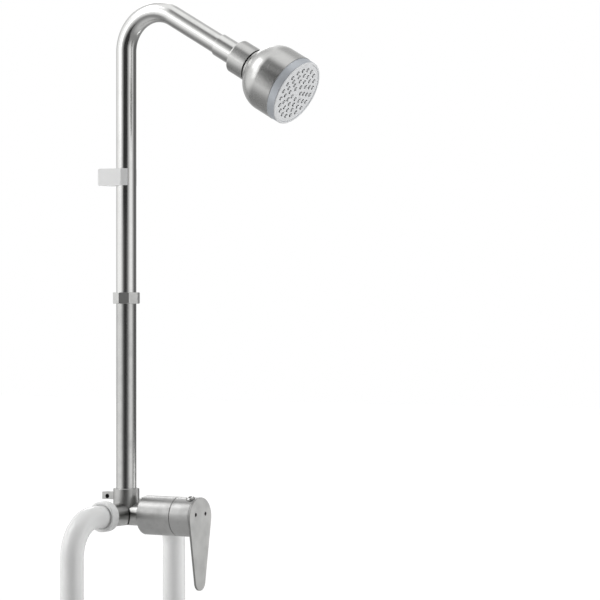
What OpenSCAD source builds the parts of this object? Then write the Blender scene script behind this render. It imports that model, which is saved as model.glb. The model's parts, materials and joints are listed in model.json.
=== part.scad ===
// Wall-held outdoor shower. Two white supply pipes feed a single-lever mixing valve, and a
// two-piece riser with a bent arm carries a shower head on a ball joint.
// Millimetres, +Z up. The wall is the plane Y = 0 and the shower stands in front of it, towards -Y.
// The origin is the centre of the valve lug's wall face.

/* [Wall fixing] */
// Distance from the wall to the centre line of the riser
stand_off = 27.8; // [25:0.1:40]
// Height of the lug's centre above the centre line of the inlets
lug_rise = 19.6; // [19:0.2:21]
// Width of the lug across the wall
lug_w = 12; // [9:0.5:16]
// Height of the lug
lug_h = 8; // [6:0.5:8]
// Diameter of the cross hole through the lug
lug_hole_d = 5; // [3:0.1:5]
// Distance from the wall to the centre of the cross hole
lug_hole_inset = 6.8; // [4:0.1:8]
// Depth of the cross hole's centre below the lug's centre
lug_hole_drop = 0.6; // [0:0.1:0.6]
// Height of the riser clip's centre above the inlets
clip_z = 366.9; // [280:0.1:440]
// Height of the riser clip
clip_h = 18.3; // [12:0.5:30]
// Wall of the riser clip beside the tube
clip_wall = 3; // [2:0.2:5]
// Thickness of the clip's lips in front of the tube
clip_lip_t = 0.4; // [0.3:0.1:1.5]
// Width of the clip's mouth as a share of its bore
clip_mouth = 0.78; // [0.6:0.01:0.8]
// Diameter of the screw hole through the clip's back
clip_hole_d = 4.5; // [3.5:0.1:6]
// Depth of the screw head's countersink
clip_sink = 3; // [2:0.5:5]

/* [Supply pipes] */
// Outside diameter of the plastic supply pipes
pipe_d = 25; // [20:0.5:28]
// Wall of the supply pipes
pipe_wall = 4.2; // [2.5:0.1:5]
// Distance from the valve's centre line to the vertical hot pipe
hot_pipe_x = 101.5; // [95:0.5:130]
// Distance from the valve's centre line to the vertical cold pipe
cold_pipe_x = 94.5; // [94:0.5:130]
// Radius of the pipes' bends at their centre line
pipe_bend_r = 40; // [30:0.5:42]
// Depth of the pipe's lower end below the inlets
pipe_drop = 150; // [80:1:300]
// Diameter of the union thread behind the white nuts
union_thread_d = 29; // [28.5:0.1:31]
// Gap between the union nut's inner face and the thread
union_back_gap = 0.3; // [0.1:0.1:1]
// Length of the union thread
union_thread_l = 5.7; // [4:0.1:8]
// Wall of the union nut over the thread
union_wall = 1.9; // [1.5:0.1:3]
// Thickness of the flange on the pipe's end
flange_t = 2.2; // [1.6:0.1:3]
// Thickness of the union nut's front lip
union_lip_t = 2.3; // [1.8:0.1:3.5]
// Thickness of the sealing washers
washer_t = 1.5; // [1:0.1:2]

/* [Valve body] */
// Distance from the centre line to the inner face of each union nut
body_reach = 37; // [33:0.5:42]
// Diameter of the inlet branches and of the neck to the cartridge housing
branch_d = 24.5; // [24:0.1:26]
// Bore of the inlet branches
inlet_bore_d = 14; // [10:0.5:14]
// Length of the neck from the centre line to the housing
neck_len = 26.5; // [24:0.5:34]
// Height of the riser socket's top above the inlets
socket_top = 28; // [27:0.5:34]
// Depth of the riser in its socket
socket_depth = 14; // [13:0.5:14.5]
// Wall of the riser socket
socket_wall = 3.15; // [3.1:0.1:4.5]
// Diameter of the three water passages in the neck
passage_d = 5; // [3:0.2:5]
// Section diameter of the riser's sealing ring
riser_seal_d = 1.8; // [1.2:0.1:2]
// Diameter of the set screw that holds the riser
set_screw_d = 4; // [3:0.5:4]

/* [Cartridge and housing] */
// Diameter of the valve cartridge
cartridge_d = 34.8; // [34:0.1:38]
// Length of the housing from its rear face to the seam
housing_len = 42.2; // [42:0.1:50]
// Wall of the housing at its open end
housing_wall = 2.45; // [1.8:0.05:4]
// Thickness of the housing's floor
floor_t = 4; // [3:0.5:6]
// Thickness of the cartridge's base
base_t = 6; // [6:0.1:7]
// Thickness of each ceramic disc
disc_t = 3.5; // [3:0.1:4]
// Thickness of the driver on the spindle
driver_t = 3; // [2:0.1:4]
// Thickness of the cartridge's front wall
cartridge_front_t = 7; // [6.5:0.1:8]
// Diameter of the spindle
spindle_d = 13.9; // [12:0.1:14]
// Width of the square end of the spindle
spindle_square = 9; // [7:0.1:9]
// Length of the brass nut that holds the cartridge
cartridge_nut_l = 9; // [6:0.1:9]
// Section diameter of the spindle's sealing ring
spindle_seal_d = 1.8; // [1.4:0.1:2]

/* [Lever] */
// Length of the turning hub in front of the seam
hub_len = 24.4; // [23:0.1:34]
// Thickness of the hub's front web
web_t = 11.5; // [11.5:0.1:15]
// Thickness of the glide ring in the seam
glide_t = 0.5; // [0.3:0.1:1]
// Thickness of the lever plate
lever_t = 2.5; // [2.5:0.1:4]
// Distance from the hub's axis to the centre of the lever's tip
lever_reach = 69; // [55:1:100]
// Radius of the lever's tip
lever_tip_r = 9.5; // [6:0.5:14]
// Distance of each plate screw from the centre line
plate_screw_x = 9.5; // [9:0.5:12]
// Height of the plate screws above the hub's axis
plate_screw_z = 3.5; // [0:0.5:5]
// Diameter of the plate screws' heads
plate_screw_head_d = 3.8; // [3.4:0.1:4.4]
// Head diameter of the clamp screw on the hub
clamp_head_d = 10; // [8:0.5:11]
// Head height of the clamp screw
clamp_head_h = 2.2; // [1.8:0.1:3]
// Shank diameter of the clamp screw
clamp_shank_d = 5; // [4:0.5:5]
// Angle of the clamp screw from the top of the hub, towards the hot side
clamp_angle = 20; // [0:1:40]

/* [Riser and arm] */
// Outside diameter of the riser tube
tube_d = 22; // [20:0.5:23]
// Wall of the riser tube
tube_wall = 1.5; // [1:0.1:2]
// Length of the lower riser that shows between the socket and the coupling nut
lower_run = 201; // [150:1:260]
// Height of the coupling nut
coupling_h = 12.3; // [12:0.1:16]
// Width of the coupling nut across its flats
coupling_flats = 27.5; // [27.4:0.1:32]
// Height of the start of the arm's bend above the inlets
bend_z = 503.4; // [480:1:600]
// Radius of the arm's bend at its centre line
bend_r = 41; // [34:0.5:60]
// Angle of the arm below the horizontal
arm_drop = 30; // [15:1:45]
// Length from the end of the bend to the swivel collar
arm_len = 93.5; // [80:0.5:140]
// Length of the sleeve on the arm's end
sleeve_len = 25.5; // [20:0.5:35]
// Wall of that sleeve over the tube
sleeve_wall = 1.45; // [0.8:0.05:2]

/* [Shower head] */
// Diameter of the swivel collar
collar_d = 37; // [36:0.5:38]
// Length of the swivel collar
collar_len = 22.1; // [20:0.1:24]
// Wall of the collar's rim around its hollow front
collar_rim = 1.4; // [1:0.1:1.4]
// Depth of the collar's hollow front, which the bell's lip enters when the head is tilted
collar_hollow = 2.8; // [2.8:0.1:4]
// Distance from the collar's front to the centre of the ball
ball_reach = 20; // [20:0.1:22]
// Diameter of the ball
ball_d = 22; // [20:0.2:22]
// Diameter of the ball's neck
neck_d = 14; // [12:0.2:14]
// Bore through the ball
ball_bore_d = 9; // [6:0.2:9]
// Thickness of the ball's lining
lining_t = 1.4; // [1:0.1:1.6]
// Outside diameter of the head's steel bell
bell_d = 73.4; // [68:0.2:90]
// Wall of the bell
bell_wall = 1.6; // [1:0.1:2]
// Depth of the bell's dome, from its widest place back to where its curve would close
dome_depth = 31.8; // [30:0.1:36]
// Distance from the ball's centre back to the edge of the bell's lip
lip_seat = 18.4; // [18:0.1:18.4]
// Inside diameter of the bell's rear lip
lip_d = 35; // [34:0.1:35]
// Length of the bell's straight skirt
skirt_len = 22; // [20:0.1:30]
// Depth of the grey ring in front of the bell
ring_len = 10; // [9:0.1:16]
// Step from the bell's outside down to the grey ring
ring_step = 0.4; // [0.1:0.1:1]
// Wall of the grey ring behind the bell's edge
ring_wall = 1.3; // [1:0.1:2]
// Length of the grey ring inside the bell
ring_spigot_l = 4.8; // [3:0.1:8]
// Thickness of the spray plate
plate_t = 2.6; // [2:0.1:4]
// Thickness of the rubber nozzle mat
mat_t = 2.5; // [1.5:0.1:4]
// Number of nozzle rings
nozzle_rings = 4; // [1:1:4]
// Nozzles in the first ring, which every further ring adds again
nozzle_step = 5; // [4:1:5]
// Radius of the first ring of nozzles
first_ring_r = 7.4; // [6.5:0.1:8]
// Distance between the rings of nozzles
ring_pitch = 6.5; // [5.6:0.1:6.8]
// Diameter of a nozzle at its tip
nozzle_d = 2.8; // [2:0.1:3]
// Diameter of the holes in the spray plate
plate_hole_d = 4.6; // [4.2:0.1:4.8]
// Height of the nozzles above the spray plate
nozzle_rise = 1; // [0.5:0.1:3]
// Diameter of a nozzle's jet
jet_d = 1; // [0.6:0.1:1.2]

/* [Fits] */
// Radial gap between parts that slide together and then stay fixed
slip_gap = 0.1; // [0.05:0.01:0.2]
// Radial gap of a pressed, glued or brazed fit
bond_gap = 0.05; // [0.02:0.01:0.08]
// Radial gap of the parts that turn in use
run_gap = 0.05; // [0.03:0.01:0.09]
// Gap between the faces that slide over each other in the cartridge
lap_gap = 0.05; // [0.02:0.01:0.1]

/* [Hidden] */
$fn = 64;

// How far a cut runs past the face it opens
over = 1;
// Edge breaks of turned steel parts and of moulded plastic parts
steel_edge = 0.5;
plastic_edge = 1;

// Riser and socket
tube_r = tube_d / 2;
tube_bore_r = tube_r - tube_wall;
socket_bore_r = tube_r + slip_gap;
socket_r = socket_bore_r + socket_wall;
socket_floor = socket_top - socket_depth;
branch_r = branch_d / 2;
inlet_bore_r = inlet_bore_d / 2;
// The inlet bores stop this far from the centre line, and the outlet starts just above them
inlet_stop = 4;
outlet_floor = inlet_bore_r + 0.8;
outlet_r = 8;
// Places of the hot, cold and outlet passages in the neck, seen from the front
passage_r = passage_d / 2;
hot_port = [-6, -3.5];
cold_port = [6, -3.5];
outlet_port = [0, 7.2];
spigot_r = norm(hot_port) + passage_r + 1.5;
socket_seal_z = socket_floor + 3.3;
set_screw_z = socket_top - 3.5;
set_screw_turn = 45;
set_screw_key = set_screw_d / 2;

// Union nuts, counted outwards from the centre line
union_thread_r = union_thread_d / 2;
union_bore_r = union_thread_r + slip_gap;
thread_start = body_reach + union_back_gap;
thread_end = thread_start + union_thread_l;
pipe_start = thread_end + washer_t;
union_lip_start = pipe_start + flange_t;
union_end = union_lip_start + union_lip_t;
pipe_r = pipe_d / 2;
pipe_bore_r = pipe_r - pipe_wall;
pipe_lip_gap = 0.9;

// Housing and cartridge, counted forwards from the centre line
housing_start = neck_len;
housing_end = housing_start + housing_len;
floor_end = housing_start + floor_t;
cartridge_r = cartridge_d / 2;
housing_bore_r = cartridge_r + slip_gap;
thread_step = 1.3;
mouth_r = housing_bore_r + thread_step;
housing_r = mouth_r + housing_wall;
seal_stand = 0.3;
base_start = floor_end + seal_stand;
base_end = base_start + base_t;
fixed_disc_end = base_end + disc_t;
moving_disc_start = fixed_disc_end + lap_gap;
driver_start = moving_disc_start + disc_t;
driver_end = driver_start + driver_t;
cartridge_front_start = driver_end + lap_gap;
cartridge_end = cartridge_front_start + cartridge_front_t;
collar_step = 5;
nut_start = cartridge_end - collar_step;
cartridge_neck_r = cartridge_r - 2.4;
disc_r = 13.9;
disc_room_r = disc_r + slip_gap;
moving_disc_r = disc_r - 0.9;
spindle_r = spindle_d / 2;
spindle_seal_groove = cartridge_front_start + 1.5;

// Sector ports of the ceramic discs, in degrees seen from the front
port_in_r = 5.5;
port_out_r = 10.5;
hot_sector = [-118, -95];
cold_sector = [-85, -62];
window_sector = [-121, -59];
centre_port_r = 3;
pocket_depth = 2;

// Hub and lever, counted forwards from the centre line
glide_end = housing_end + glide_t;
hub_start = glide_end + run_gap * 2;
hub_end = hub_start + hub_len;
hub_spigot_l = 4.5;
hub_bore_r = mouth_r - 2.3;
web_start = hub_end - web_t;
spindle_end = hub_end - 2.5;
clamp_b = hub_end - 5.8;
// Flat seat of the clamp screw's head, just under the hub's round surface
clamp_seat = sqrt(housing_r * housing_r - clamp_head_d * clamp_head_d / 4);
plate_shank_r = 1.3;
// The plate screws' heads sit this far forwards, sunk below the lever's face
plate_screw_seat = hub_end + 0.9;
plate_screw_l = 6;
lever_end = hub_end + lever_t;
lever_top_r = housing_r + 0.25;
// The lever's straight sides run this far inside the tangents of its two round ends
side_inset = 0.02;

// Riser heights above the inlets
coupling_z = socket_top + lower_run;
coupling_lip_t = 2.3;
insert_z = coupling_z + 0.6;
insert_h = 6.8;
coupling_washer_t = 1;
tail_z = insert_z + insert_h + coupling_washer_t;
tail_ring_t = coupling_z + coupling_h - coupling_lip_t - tail_z;
coupling_bore_r = tube_r + 1.3;
coupling_thread_r = coupling_bore_r - slip_gap;
insert_bore_r = tube_bore_r - 1.5;
insert_spigot_l = 12;
bend_turn = 90 + arm_drop;
// The straight arm starts this far inside the bend's end, and is this much smaller in radius,
// so that the two are one tube with no facing ends between them
bend_overlap = 0.5;
bend_step = 0.02;

// Arm and head, counted along the arm from the end of the bend
sleeve_start = arm_len - sleeve_len;
tube_in_sleeve = sleeve_len - 5.5;
sleeve_r = tube_r + bond_gap + sleeve_wall;
arm_bore_r = 7;
arm_thread_r = 10.4;
arm_thread_l = 10.5;
collar_bore_r = arm_thread_r + slip_gap;
collar_bore_l = arm_thread_l + 2.5;
collar_r = collar_d / 2;
ball_s = arm_len + collar_len + ball_reach;
ball_r = ball_d / 2;
ball_bore_r = ball_bore_d / 2;
lining_in_r = ball_r + run_gap;
lining_out_r = lining_in_r + lining_t;
lining_half = 5;
seat_r = lining_out_r + run_gap;

// Head, counted along the arm from the ball's centre
bell_r = bell_d / 2;
lip_r = lip_d / 2;
lip_wall = 1;
lip_out_r = lip_r + lip_wall;
lip_len = 2.14;
lip_start = -lip_seat;
dome_steps = 20;
dome_reach = lip_start + lip_len + dome_depth * sqrt(1 - pow(lip_out_r / bell_r, 2));
bell_end = dome_reach + skirt_len;
socket_out_r = lip_r - bond_gap;
seat_cup_r = 14.2;
socket_rear = lip_start + 0.6;
retainer_rear = -9;
socket_front = 13;
feed_r = 9.6;
feed_l = 9.5;
feed_end = socket_front + feed_l;
feed_out_r = feed_r + 3.4;
ring_r = bell_r - ring_step;
ring_spigot_r = bell_r - bell_wall - slip_gap;
ring_bore_r = ring_spigot_r - ring_wall;
face_h = bell_end + ring_len - 0.5;
plate_back = face_h - plate_t;
mat_back = plate_back - mat_t;
insert_r = ring_bore_r - slip_gap;
chamber_depth = 11.5;
chamber_back = mat_back - chamber_depth;
chamber_wall = 3;
chamber_hub_start = socket_front + 0.3;

// Places children in the frame whose origin is where the riser crosses the inlets
module at_valve() { translate([0, -stand_off, -lug_rise]) children(); }
// Turns local +Z to the front, with local +Y up
module forwards() { rotate([90, 0, 0]) children(); }
// Turns local +Z outwards along the hot (-1) or the cold (+1) inlet
module outwards(side) { rotate([0, 90 * side, 0]) children(); }
// Turns local +Z along the arm, from the end of the bend
module at_arm() {
  at_valve()
    translate([0, -bend_r * (1 - cos(bend_turn)), bend_z + bend_r * sin(bend_turn)])
      rotate([bend_turn, 0, 0]) children();
}
module at_ball() { at_arm() translate([0, 0, ball_s]) children(); }

// Solid round bar from z0 to z1 with optional edge breaks at its two ends
module bar(r, z0, z1, c0 = 0, c1 = 0) {
  translate([0, 0, z0 + c0]) cylinder(r = r, h = z1 - z0 - c0 - c1);
  if (c0 > 0) translate([0, 0, z0]) cylinder(r1 = r - c0, r2 = r, h = c0);
  if (c1 > 0) translate([0, 0, z1 - c1]) cylinder(r1 = r, r2 = r - c1, h = c1);
}

// Round tube from z0 to z1
module pipe(r_out, r_in, z0, z1, c0 = 0, c1 = 0) {
  difference() {
    bar(r_out, z0, z1, c0, c1);
    bar(r_in, z0 - over, z1 + over);
  }
}

// Ring of round section around local Z
module seal_ring(centre_r, section_r, z) {
  translate([0, 0, z]) rotate_extrude() translate([centre_r, 0]) circle(r = section_r, $fn = 32);
}

// Sector of a disc, from angles[0] to angles[1]
module sector(r_in, r_out, angles, z0, z1) {
  rotate([0, 0, angles[0]]) translate([0, 0, z0])
    rotate_extrude(angle = angles[1] - angles[0])
      translate([r_in, 0]) square([r_out - r_in, z1 - z0]);
}

// Hexagonal key socket, sunk from z downwards
module key_socket(flats, z, depth) {
  translate([0, 0, z - depth]) cylinder(r = flats / 2 / cos(30), h = depth + over, $fn = 6);
}

// Copies children to the three passages of the neck
module at_ports() {
  for (p = [hot_port, cold_port, outlet_port]) translate([p[0], p[1], 0]) children();
}

// Cross-shaped steel body with the riser's socket, the neck and the wall lug
module valve_body() {
  skirt_h = 8;
  skirt_z = 2;
  skirt_taper = 5.2;
  color([0.55, 0.55, 0.53]) at_valve() difference() {
    union() {
      for (side = [-1, 1]) outwards(side) {
        bar(branch_r, 0, thread_start);
        bar(union_thread_r, thread_start, thread_end, 0, steel_edge);
      }
      forwards() bar(branch_r, 0, housing_start);
      forwards() bar(spigot_r, housing_start, floor_end);
      bar(socket_r, skirt_z, socket_top, 0, steel_edge);
      translate([0, 0, skirt_z - skirt_h])
        cylinder(r1 = socket_r - skirt_taper, r2 = socket_r, h = skirt_h);
      translate([-lug_w / 2, 0, lug_rise - lug_h / 2]) cube([lug_w, stand_off, lug_h]);
    }
    for (side = [-1, 1]) outwards(side) bar(inlet_bore_r, inlet_stop, thread_end + over);
    bar(outlet_r, outlet_floor, socket_floor + over);
    bar(socket_bore_r, socket_floor, socket_top + over);
    forwards() at_ports() bar(passage_r, 0, floor_end + over);
    translate([0, 0, socket_seal_z - riser_seal_d / 2 - run_gap])
      cylinder(r = tube_r + riser_seal_d + slip_gap, h = riser_seal_d + 2 * run_gap);
    rotate([0, 0, set_screw_turn]) translate([0, 0, set_screw_z]) rotate([0, 90, 0])
      cylinder(r = set_screw_d / 2 + bond_gap, h = socket_r + over);
    translate([-lug_w, stand_off - lug_hole_inset, lug_rise - lug_hole_drop]) rotate([0, 90, 0])
      cylinder(d = lug_hole_d, h = 2 * lug_w);
  }
}

// Rubber ring that seals the riser in its socket
module riser_seal() {
  color([0.1, 0.1, 0.1]) at_valve()
    seal_ring(tube_r + riser_seal_d / 2 + bond_gap, riser_seal_d / 2, socket_seal_z);
}

// Headless screw that holds the riser in its socket, at the back
module riser_set_screw() {
  color([0.5, 0.5, 0.5]) at_valve()
    rotate([0, 0, set_screw_turn]) translate([0, 0, set_screw_z]) rotate([0, 90, 0])
      difference() {
        bar(set_screw_d / 2, tube_r + bond_gap, socket_r - bond_gap);
        key_socket(set_screw_key, socket_r - bond_gap, 1.6);
      }
}

// Turned steel cup behind the lever that takes the cartridge
module cartridge_housing() {
  color([0.68, 0.68, 0.67]) at_valve() forwards() difference() {
    bar(housing_r, housing_start, housing_end, 1, steel_edge / 2);
    bar(spigot_r + bond_gap, housing_start - over, floor_end + over);
    bar(housing_bore_r, floor_end, housing_end);
    bar(mouth_r, nut_start, housing_end + over);
  }
}

// Three rubber rings between the neck's passages and the cartridge
module port_seals() {
  color([0.12, 0.12, 0.12]) at_valve() forwards() at_ports()
    pipe(passage_r + 1.5, passage_r + 0.1, floor_end, floor_end + seal_stand + 1.5);
}

// Plastic base that leads the neck's passages to the discs
module cartridge_base() {
  duct_w = 3.2;
  duct_lo = base_start + 2.6;
  duct_hi = base_start + 4;
  color([0.85, 0.85, 0.8]) at_valve() forwards() difference() {
    bar(cartridge_r, base_start, base_end);
    at_ports() bar(passage_r + 1.5 + bond_gap, base_start - over, base_start + 1.5);
    at_ports() bar(passage_r, base_start, duct_hi);
    base_duct(hot_port, sector_centre(hot_sector), duct_w, duct_lo, duct_hi);
    base_duct(cold_port, sector_centre(cold_sector), duct_w, duct_lo, duct_hi);
    base_duct(outlet_port, [0, 0], duct_w, duct_lo, duct_hi);
    sector(port_in_r, port_out_r, hot_sector, duct_lo, base_end + over);
    sector(port_in_r, port_out_r, cold_sector, duct_lo, base_end + over);
    bar(centre_port_r, duct_lo, base_end + over);
  }
}

// Middle of a sector port
function sector_centre(angles) =
  let (a = (angles[0] + angles[1]) / 2, r = (port_in_r + port_out_r) / 2)
  [r * cos(a), r * sin(a)];

// Straight duct inside the base from point p to point q
module base_duct(p, q, w, z0, z1) {
  run = q - p;
  translate([p[0], p[1], z0]) rotate([0, 0, atan2(run[1], run[0])])
    translate([0, -w / 2, 0]) cube([norm(run), w, z1 - z0]);
}

// Ceramic disc that stays with the base
module fixed_disc() {
  color([0.95, 0.94, 0.9]) at_valve() forwards() difference() {
    bar(disc_r, base_end, fixed_disc_end);
    sector(port_in_r, port_out_r, hot_sector, base_end - over, fixed_disc_end + over);
    sector(port_in_r, port_out_r, cold_sector, base_end - over, fixed_disc_end + over);
    bar(centre_port_r, base_end - over, fixed_disc_end + over);
  }
}

// Ceramic disc that turns with the lever and opens the ports through its pocket
module moving_disc() {
  color([0.9, 0.88, 0.82]) at_valve() forwards() difference() {
    bar(moving_disc_r, moving_disc_start, driver_start);
    sector(0, port_out_r, window_sector, moving_disc_start - over, moving_disc_start + pocket_depth);
    bar(centre_port_r, moving_disc_start - over, moving_disc_start + pocket_depth);
  }
}

// Plastic shell of the cartridge around the discs and the spindle
module cartridge_shell() {
  color([0.8, 0.8, 0.75]) at_valve() forwards() difference() {
    union() {
      bar(cartridge_r, base_end, nut_start);
      bar(cartridge_neck_r, nut_start, cartridge_end);
    }
    bar(disc_room_r, base_end - over, cartridge_front_start);
    bar(spindle_r + run_gap, cartridge_front_start - over, cartridge_end + over);
    bar(spindle_r + spindle_seal_d + slip_gap, spindle_seal_groove,
        spindle_seal_groove + spindle_seal_d + slip_gap);
  }
}

// Spindle with its driver at the back and the square for the hub at the front
module spindle() {
  square_start = cartridge_end + 2;
  color([0.78, 0.62, 0.3]) at_valve() forwards() {
    bar(moving_disc_r - 0.5, driver_start, driver_end);
    bar(spindle_r, driver_start, square_start);
    rotate([0, 0, clamp_angle]) translate([-spindle_square / 2, -spindle_square / 2, driver_end])
      cube([spindle_square, spindle_square, spindle_end - driver_end]);
  }
}

// Rubber ring around the spindle
module spindle_seal() {
  color([0.1, 0.1, 0.1]) at_valve() forwards()
    seal_ring(spindle_r + spindle_seal_d / 2 + bond_gap, spindle_seal_d / 2,
              spindle_seal_groove + (spindle_seal_d + slip_gap) / 2);
}

// Brass ring nut that clamps the cartridge on its shoulder
module cartridge_nut() {
  notch_w = 3;
  notch_depth = 2;
  nut_end = nut_start + cartridge_nut_l;
  color([0.78, 0.62, 0.3]) at_valve() forwards() difference() {
    pipe(mouth_r - slip_gap, cartridge_neck_r + slip_gap, nut_start, nut_end);
    for (turn = [0, 90]) rotate([0, 0, turn])
      translate([-mouth_r - over, -notch_w / 2, nut_end - notch_depth])
        cube([2 * (mouth_r + over), notch_w, notch_depth + over]);
  }
}

// Thin dark ring on which the hub turns
module glide_ring() {
  color([0.12, 0.12, 0.12]) at_valve() forwards()
    pipe(housing_r - 0.6, mouth_r + slip_gap, housing_end, glide_end);
}

// Turning steel hub between the seam and the lever plate
module handle_hub() {
  screw_hole_l = plate_screw_l + 1;
  color([0.7, 0.7, 0.69]) at_valve() forwards() difference() {
    union() {
      bar(housing_r, hub_start, hub_end, steel_edge / 2, 0);
      bar(mouth_r - run_gap, hub_start - hub_spigot_l, hub_start);
    }
    bar(hub_bore_r, hub_start - hub_spigot_l - over, web_start);
    rotate([0, 0, clamp_angle])
      translate([-spindle_square / 2 - bond_gap, -spindle_square / 2 - bond_gap, web_start - over])
        cube([spindle_square + 2 * bond_gap, spindle_square + 2 * bond_gap,
              spindle_end + bond_gap - web_start + over]);
    at_clamp_screw() bar(clamp_shank_d / 2 + bond_gap, 0, housing_r + over);
    at_clamp_screw() bar(clamp_head_d / 2 + slip_gap, clamp_seat, housing_r + over);
    at_plate_screws() bar(plate_shank_r + bond_gap, hub_end - screw_hole_l, hub_end + over);
  }
}

// Local +Z along the clamp screw, outwards from the hub's axis
module at_clamp_screw() {
  translate([0, 0, clamp_b]) rotate([0, 0, clamp_angle]) rotate([-90, 0, 0]) children();
}

// Copies children to the two plate screws
module at_plate_screws() {
  for (side = [-1, 1]) translate([side * plate_screw_x, plate_screw_z, 0]) children();
}

// Button-head screw that clamps the hub on the spindle's square
module clamp_screw() {
  key_flats = 4;
  head_top = housing_r + clamp_head_h;
  rim = 1.1;
  color([0.6, 0.6, 0.6]) at_valve() forwards() at_clamp_screw() difference() {
    union() {
      bar(clamp_shank_d / 2, spindle_square / 2 + bond_gap, clamp_seat);
      bar(clamp_head_d / 2, clamp_seat, head_top - rim);
      translate([0, 0, head_top - rim])
        cylinder(r1 = clamp_head_d / 2, r2 = clamp_head_d / 2 - 1.6, h = rim);
    }
    key_socket(key_flats, head_top, 1.8);
  }
}

// Drop-shaped plate around a large round end and a small round end a distance below it
module drop_plate(r_big, r_small, reach, z0, z1) {
  tilt = asin((r_big - r_small) / reach);
  r_top = r_big - side_inset;
  r_tip = r_small - side_inset;
  bar(r_big, z0, z1);
  translate([0, -reach, 0]) bar(r_small, z0, z1);
  translate([0, 0, z0]) linear_extrude(height = z1 - z0) polygon([
    [-r_top * cos(tilt), -r_top * sin(tilt)],
    [r_top * cos(tilt), -r_top * sin(tilt)],
    [r_tip * cos(tilt), -reach - r_tip * sin(tilt)],
    [-r_tip * cos(tilt), -reach - r_tip * sin(tilt)]
  ]);
}

// Flat lever on the front of the hub, pointing down
module lever_plate() {
  color([0.68, 0.68, 0.67]) at_valve() forwards() difference() {
    drop_plate(lever_top_r, lever_tip_r, lever_reach, hub_end, lever_end);
    at_plate_screws() bar(plate_shank_r + bond_gap, hub_end - over, lever_end);
    at_plate_screws() bar(plate_screw_head_d / 2 + bond_gap, plate_screw_seat, lever_end + over);
  }
}

// Two small sunk screws that hold the lever plate on the hub
module plate_screws() {
  head_h = lever_t - 1.7;
  color([0.35, 0.35, 0.35]) at_valve() forwards() at_plate_screws() difference() {
    union() {
      bar(plate_shank_r, hub_end - plate_screw_l, plate_screw_seat);
      bar(plate_screw_head_d / 2, plate_screw_seat, plate_screw_seat + head_h);
    }
    key_socket(1.6, plate_screw_seat + head_h, 1);
  }
}

// Solid bar along the pipe's route, outwards from the valve and down
module pipe_route(r, reach, start, drop) {
  elbow_x = reach - pipe_bend_r;
  rotate([0, 90, 0]) bar(r, start, elbow_x);
  translate([elbow_x, 0, -pipe_bend_r]) rotate([90, 0, 0])
    rotate_extrude(angle = 90) translate([pipe_bend_r, 0]) circle(r = r);
  translate([reach, 0, -drop]) cylinder(r = r, h = drop - pipe_bend_r);
}

module supply_pipe(side, reach) {
  color([0.93, 0.93, 0.92]) at_valve() mirror([side < 0 ? 1 : 0, 0, 0]) difference() {
    union() {
      pipe_route(pipe_r, reach, pipe_start, pipe_drop);
      rotate([0, 90, 0]) bar(union_thread_r - slip_gap, pipe_start, union_lip_start);
    }
    pipe_route(pipe_bore_r, reach, pipe_start - over, pipe_drop + over);
  }
}

// White plastic pipes with a flange at the valve, bent down to the ground
module hot_supply_pipe() { supply_pipe(-1, hot_pipe_x); }
module cold_supply_pipe() { supply_pipe(1, cold_pipe_x); }

module union_nut(side) {
  mouth_chamfer = 1;
  color([0.95, 0.95, 0.94]) at_valve() outwards(side) difference() {
    bar(union_bore_r + union_wall, body_reach, union_end, plastic_edge, plastic_edge);
    bar(union_bore_r, body_reach - over, union_lip_start);
    bar(pipe_r + pipe_lip_gap, union_lip_start - over, union_end + over);
    translate([0, 0, union_end - mouth_chamfer])
      cylinder(r1 = pipe_r + pipe_lip_gap, r2 = pipe_r + pipe_lip_gap + mouth_chamfer, h = mouth_chamfer);
  }
}

// White nuts that draw the pipes' flanges against the valve
module hot_union_nut() { union_nut(-1); }
module cold_union_nut() { union_nut(1); }

// Flat rubber washers between the valve and the pipes
module union_washers() {
  color([0.15, 0.15, 0.15]) at_valve()
    for (side = [-1, 1]) outwards(side)
      pipe(union_thread_r - slip_gap, inlet_bore_r, thread_end, pipe_start);
}

// Straight lower half of the riser, held in the valve's socket
module lower_riser_tube() {
  color([0.66, 0.66, 0.65]) at_valve() pipe(tube_r, tube_bore_r, socket_floor, insert_z);
}

// Threaded steel insert brazed into the lower riser
module coupling_insert() {
  color([0.6, 0.6, 0.58]) at_valve() difference() {
    union() {
      bar(tube_bore_r - bond_gap, insert_z - insert_spigot_l, insert_z);
      bar(coupling_thread_r, insert_z, insert_z + insert_h);
    }
    bar(insert_bore_r, insert_z - insert_spigot_l - over, insert_z + insert_h + over);
  }
}

// Flat washer that the two halves of the riser are drawn against
module coupling_washer() {
  color([0.12, 0.12, 0.12]) at_valve()
    pipe(coupling_thread_r, insert_bore_r, insert_z + insert_h, tail_z);
}

// Ring brazed on the upper riser's end, under the nut's lip
module tail_ring() {
  color([0.6, 0.6, 0.58]) at_valve()
    pipe(coupling_thread_r, tube_r + bond_gap, tail_z, tail_z + tail_ring_t);
}

// Eight-sided nut that joins the two halves of the riser
module coupling_nut() {
  corner_r = coupling_flats / 2 / cos(22.5);
  lip_z = coupling_z + coupling_h - coupling_lip_t;
  color([0.7, 0.7, 0.69]) at_valve() difference() {
    intersection() {
      translate([0, 0, coupling_z]) cylinder(r = corner_r, h = coupling_h, $fn = 8);
      bar(corner_r + 0.1, coupling_z, coupling_z + coupling_h, 0.9, 0.9);
    }
    bar(coupling_bore_r, coupling_z - over, lip_z);
    bar(tube_r + slip_gap * 2, lip_z - over, coupling_z + coupling_h + over);
  }
}

// Solid bar along the upper riser, round the bend and down the arm
module riser_route(r, start, arm_end) {
  bar(r, start, bend_z);
  translate([0, -bend_r, bend_z]) rotate([90, 0, 90]) {
    rotate_extrude(angle = bend_turn) translate([bend_r, 0]) circle(r = r);
    rotate([0, 0, bend_turn]) translate([bend_r, 0, 0]) rotate([-90, 0, 0])
      bar(r - bend_step, -bend_overlap, arm_end);
  }
}

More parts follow.
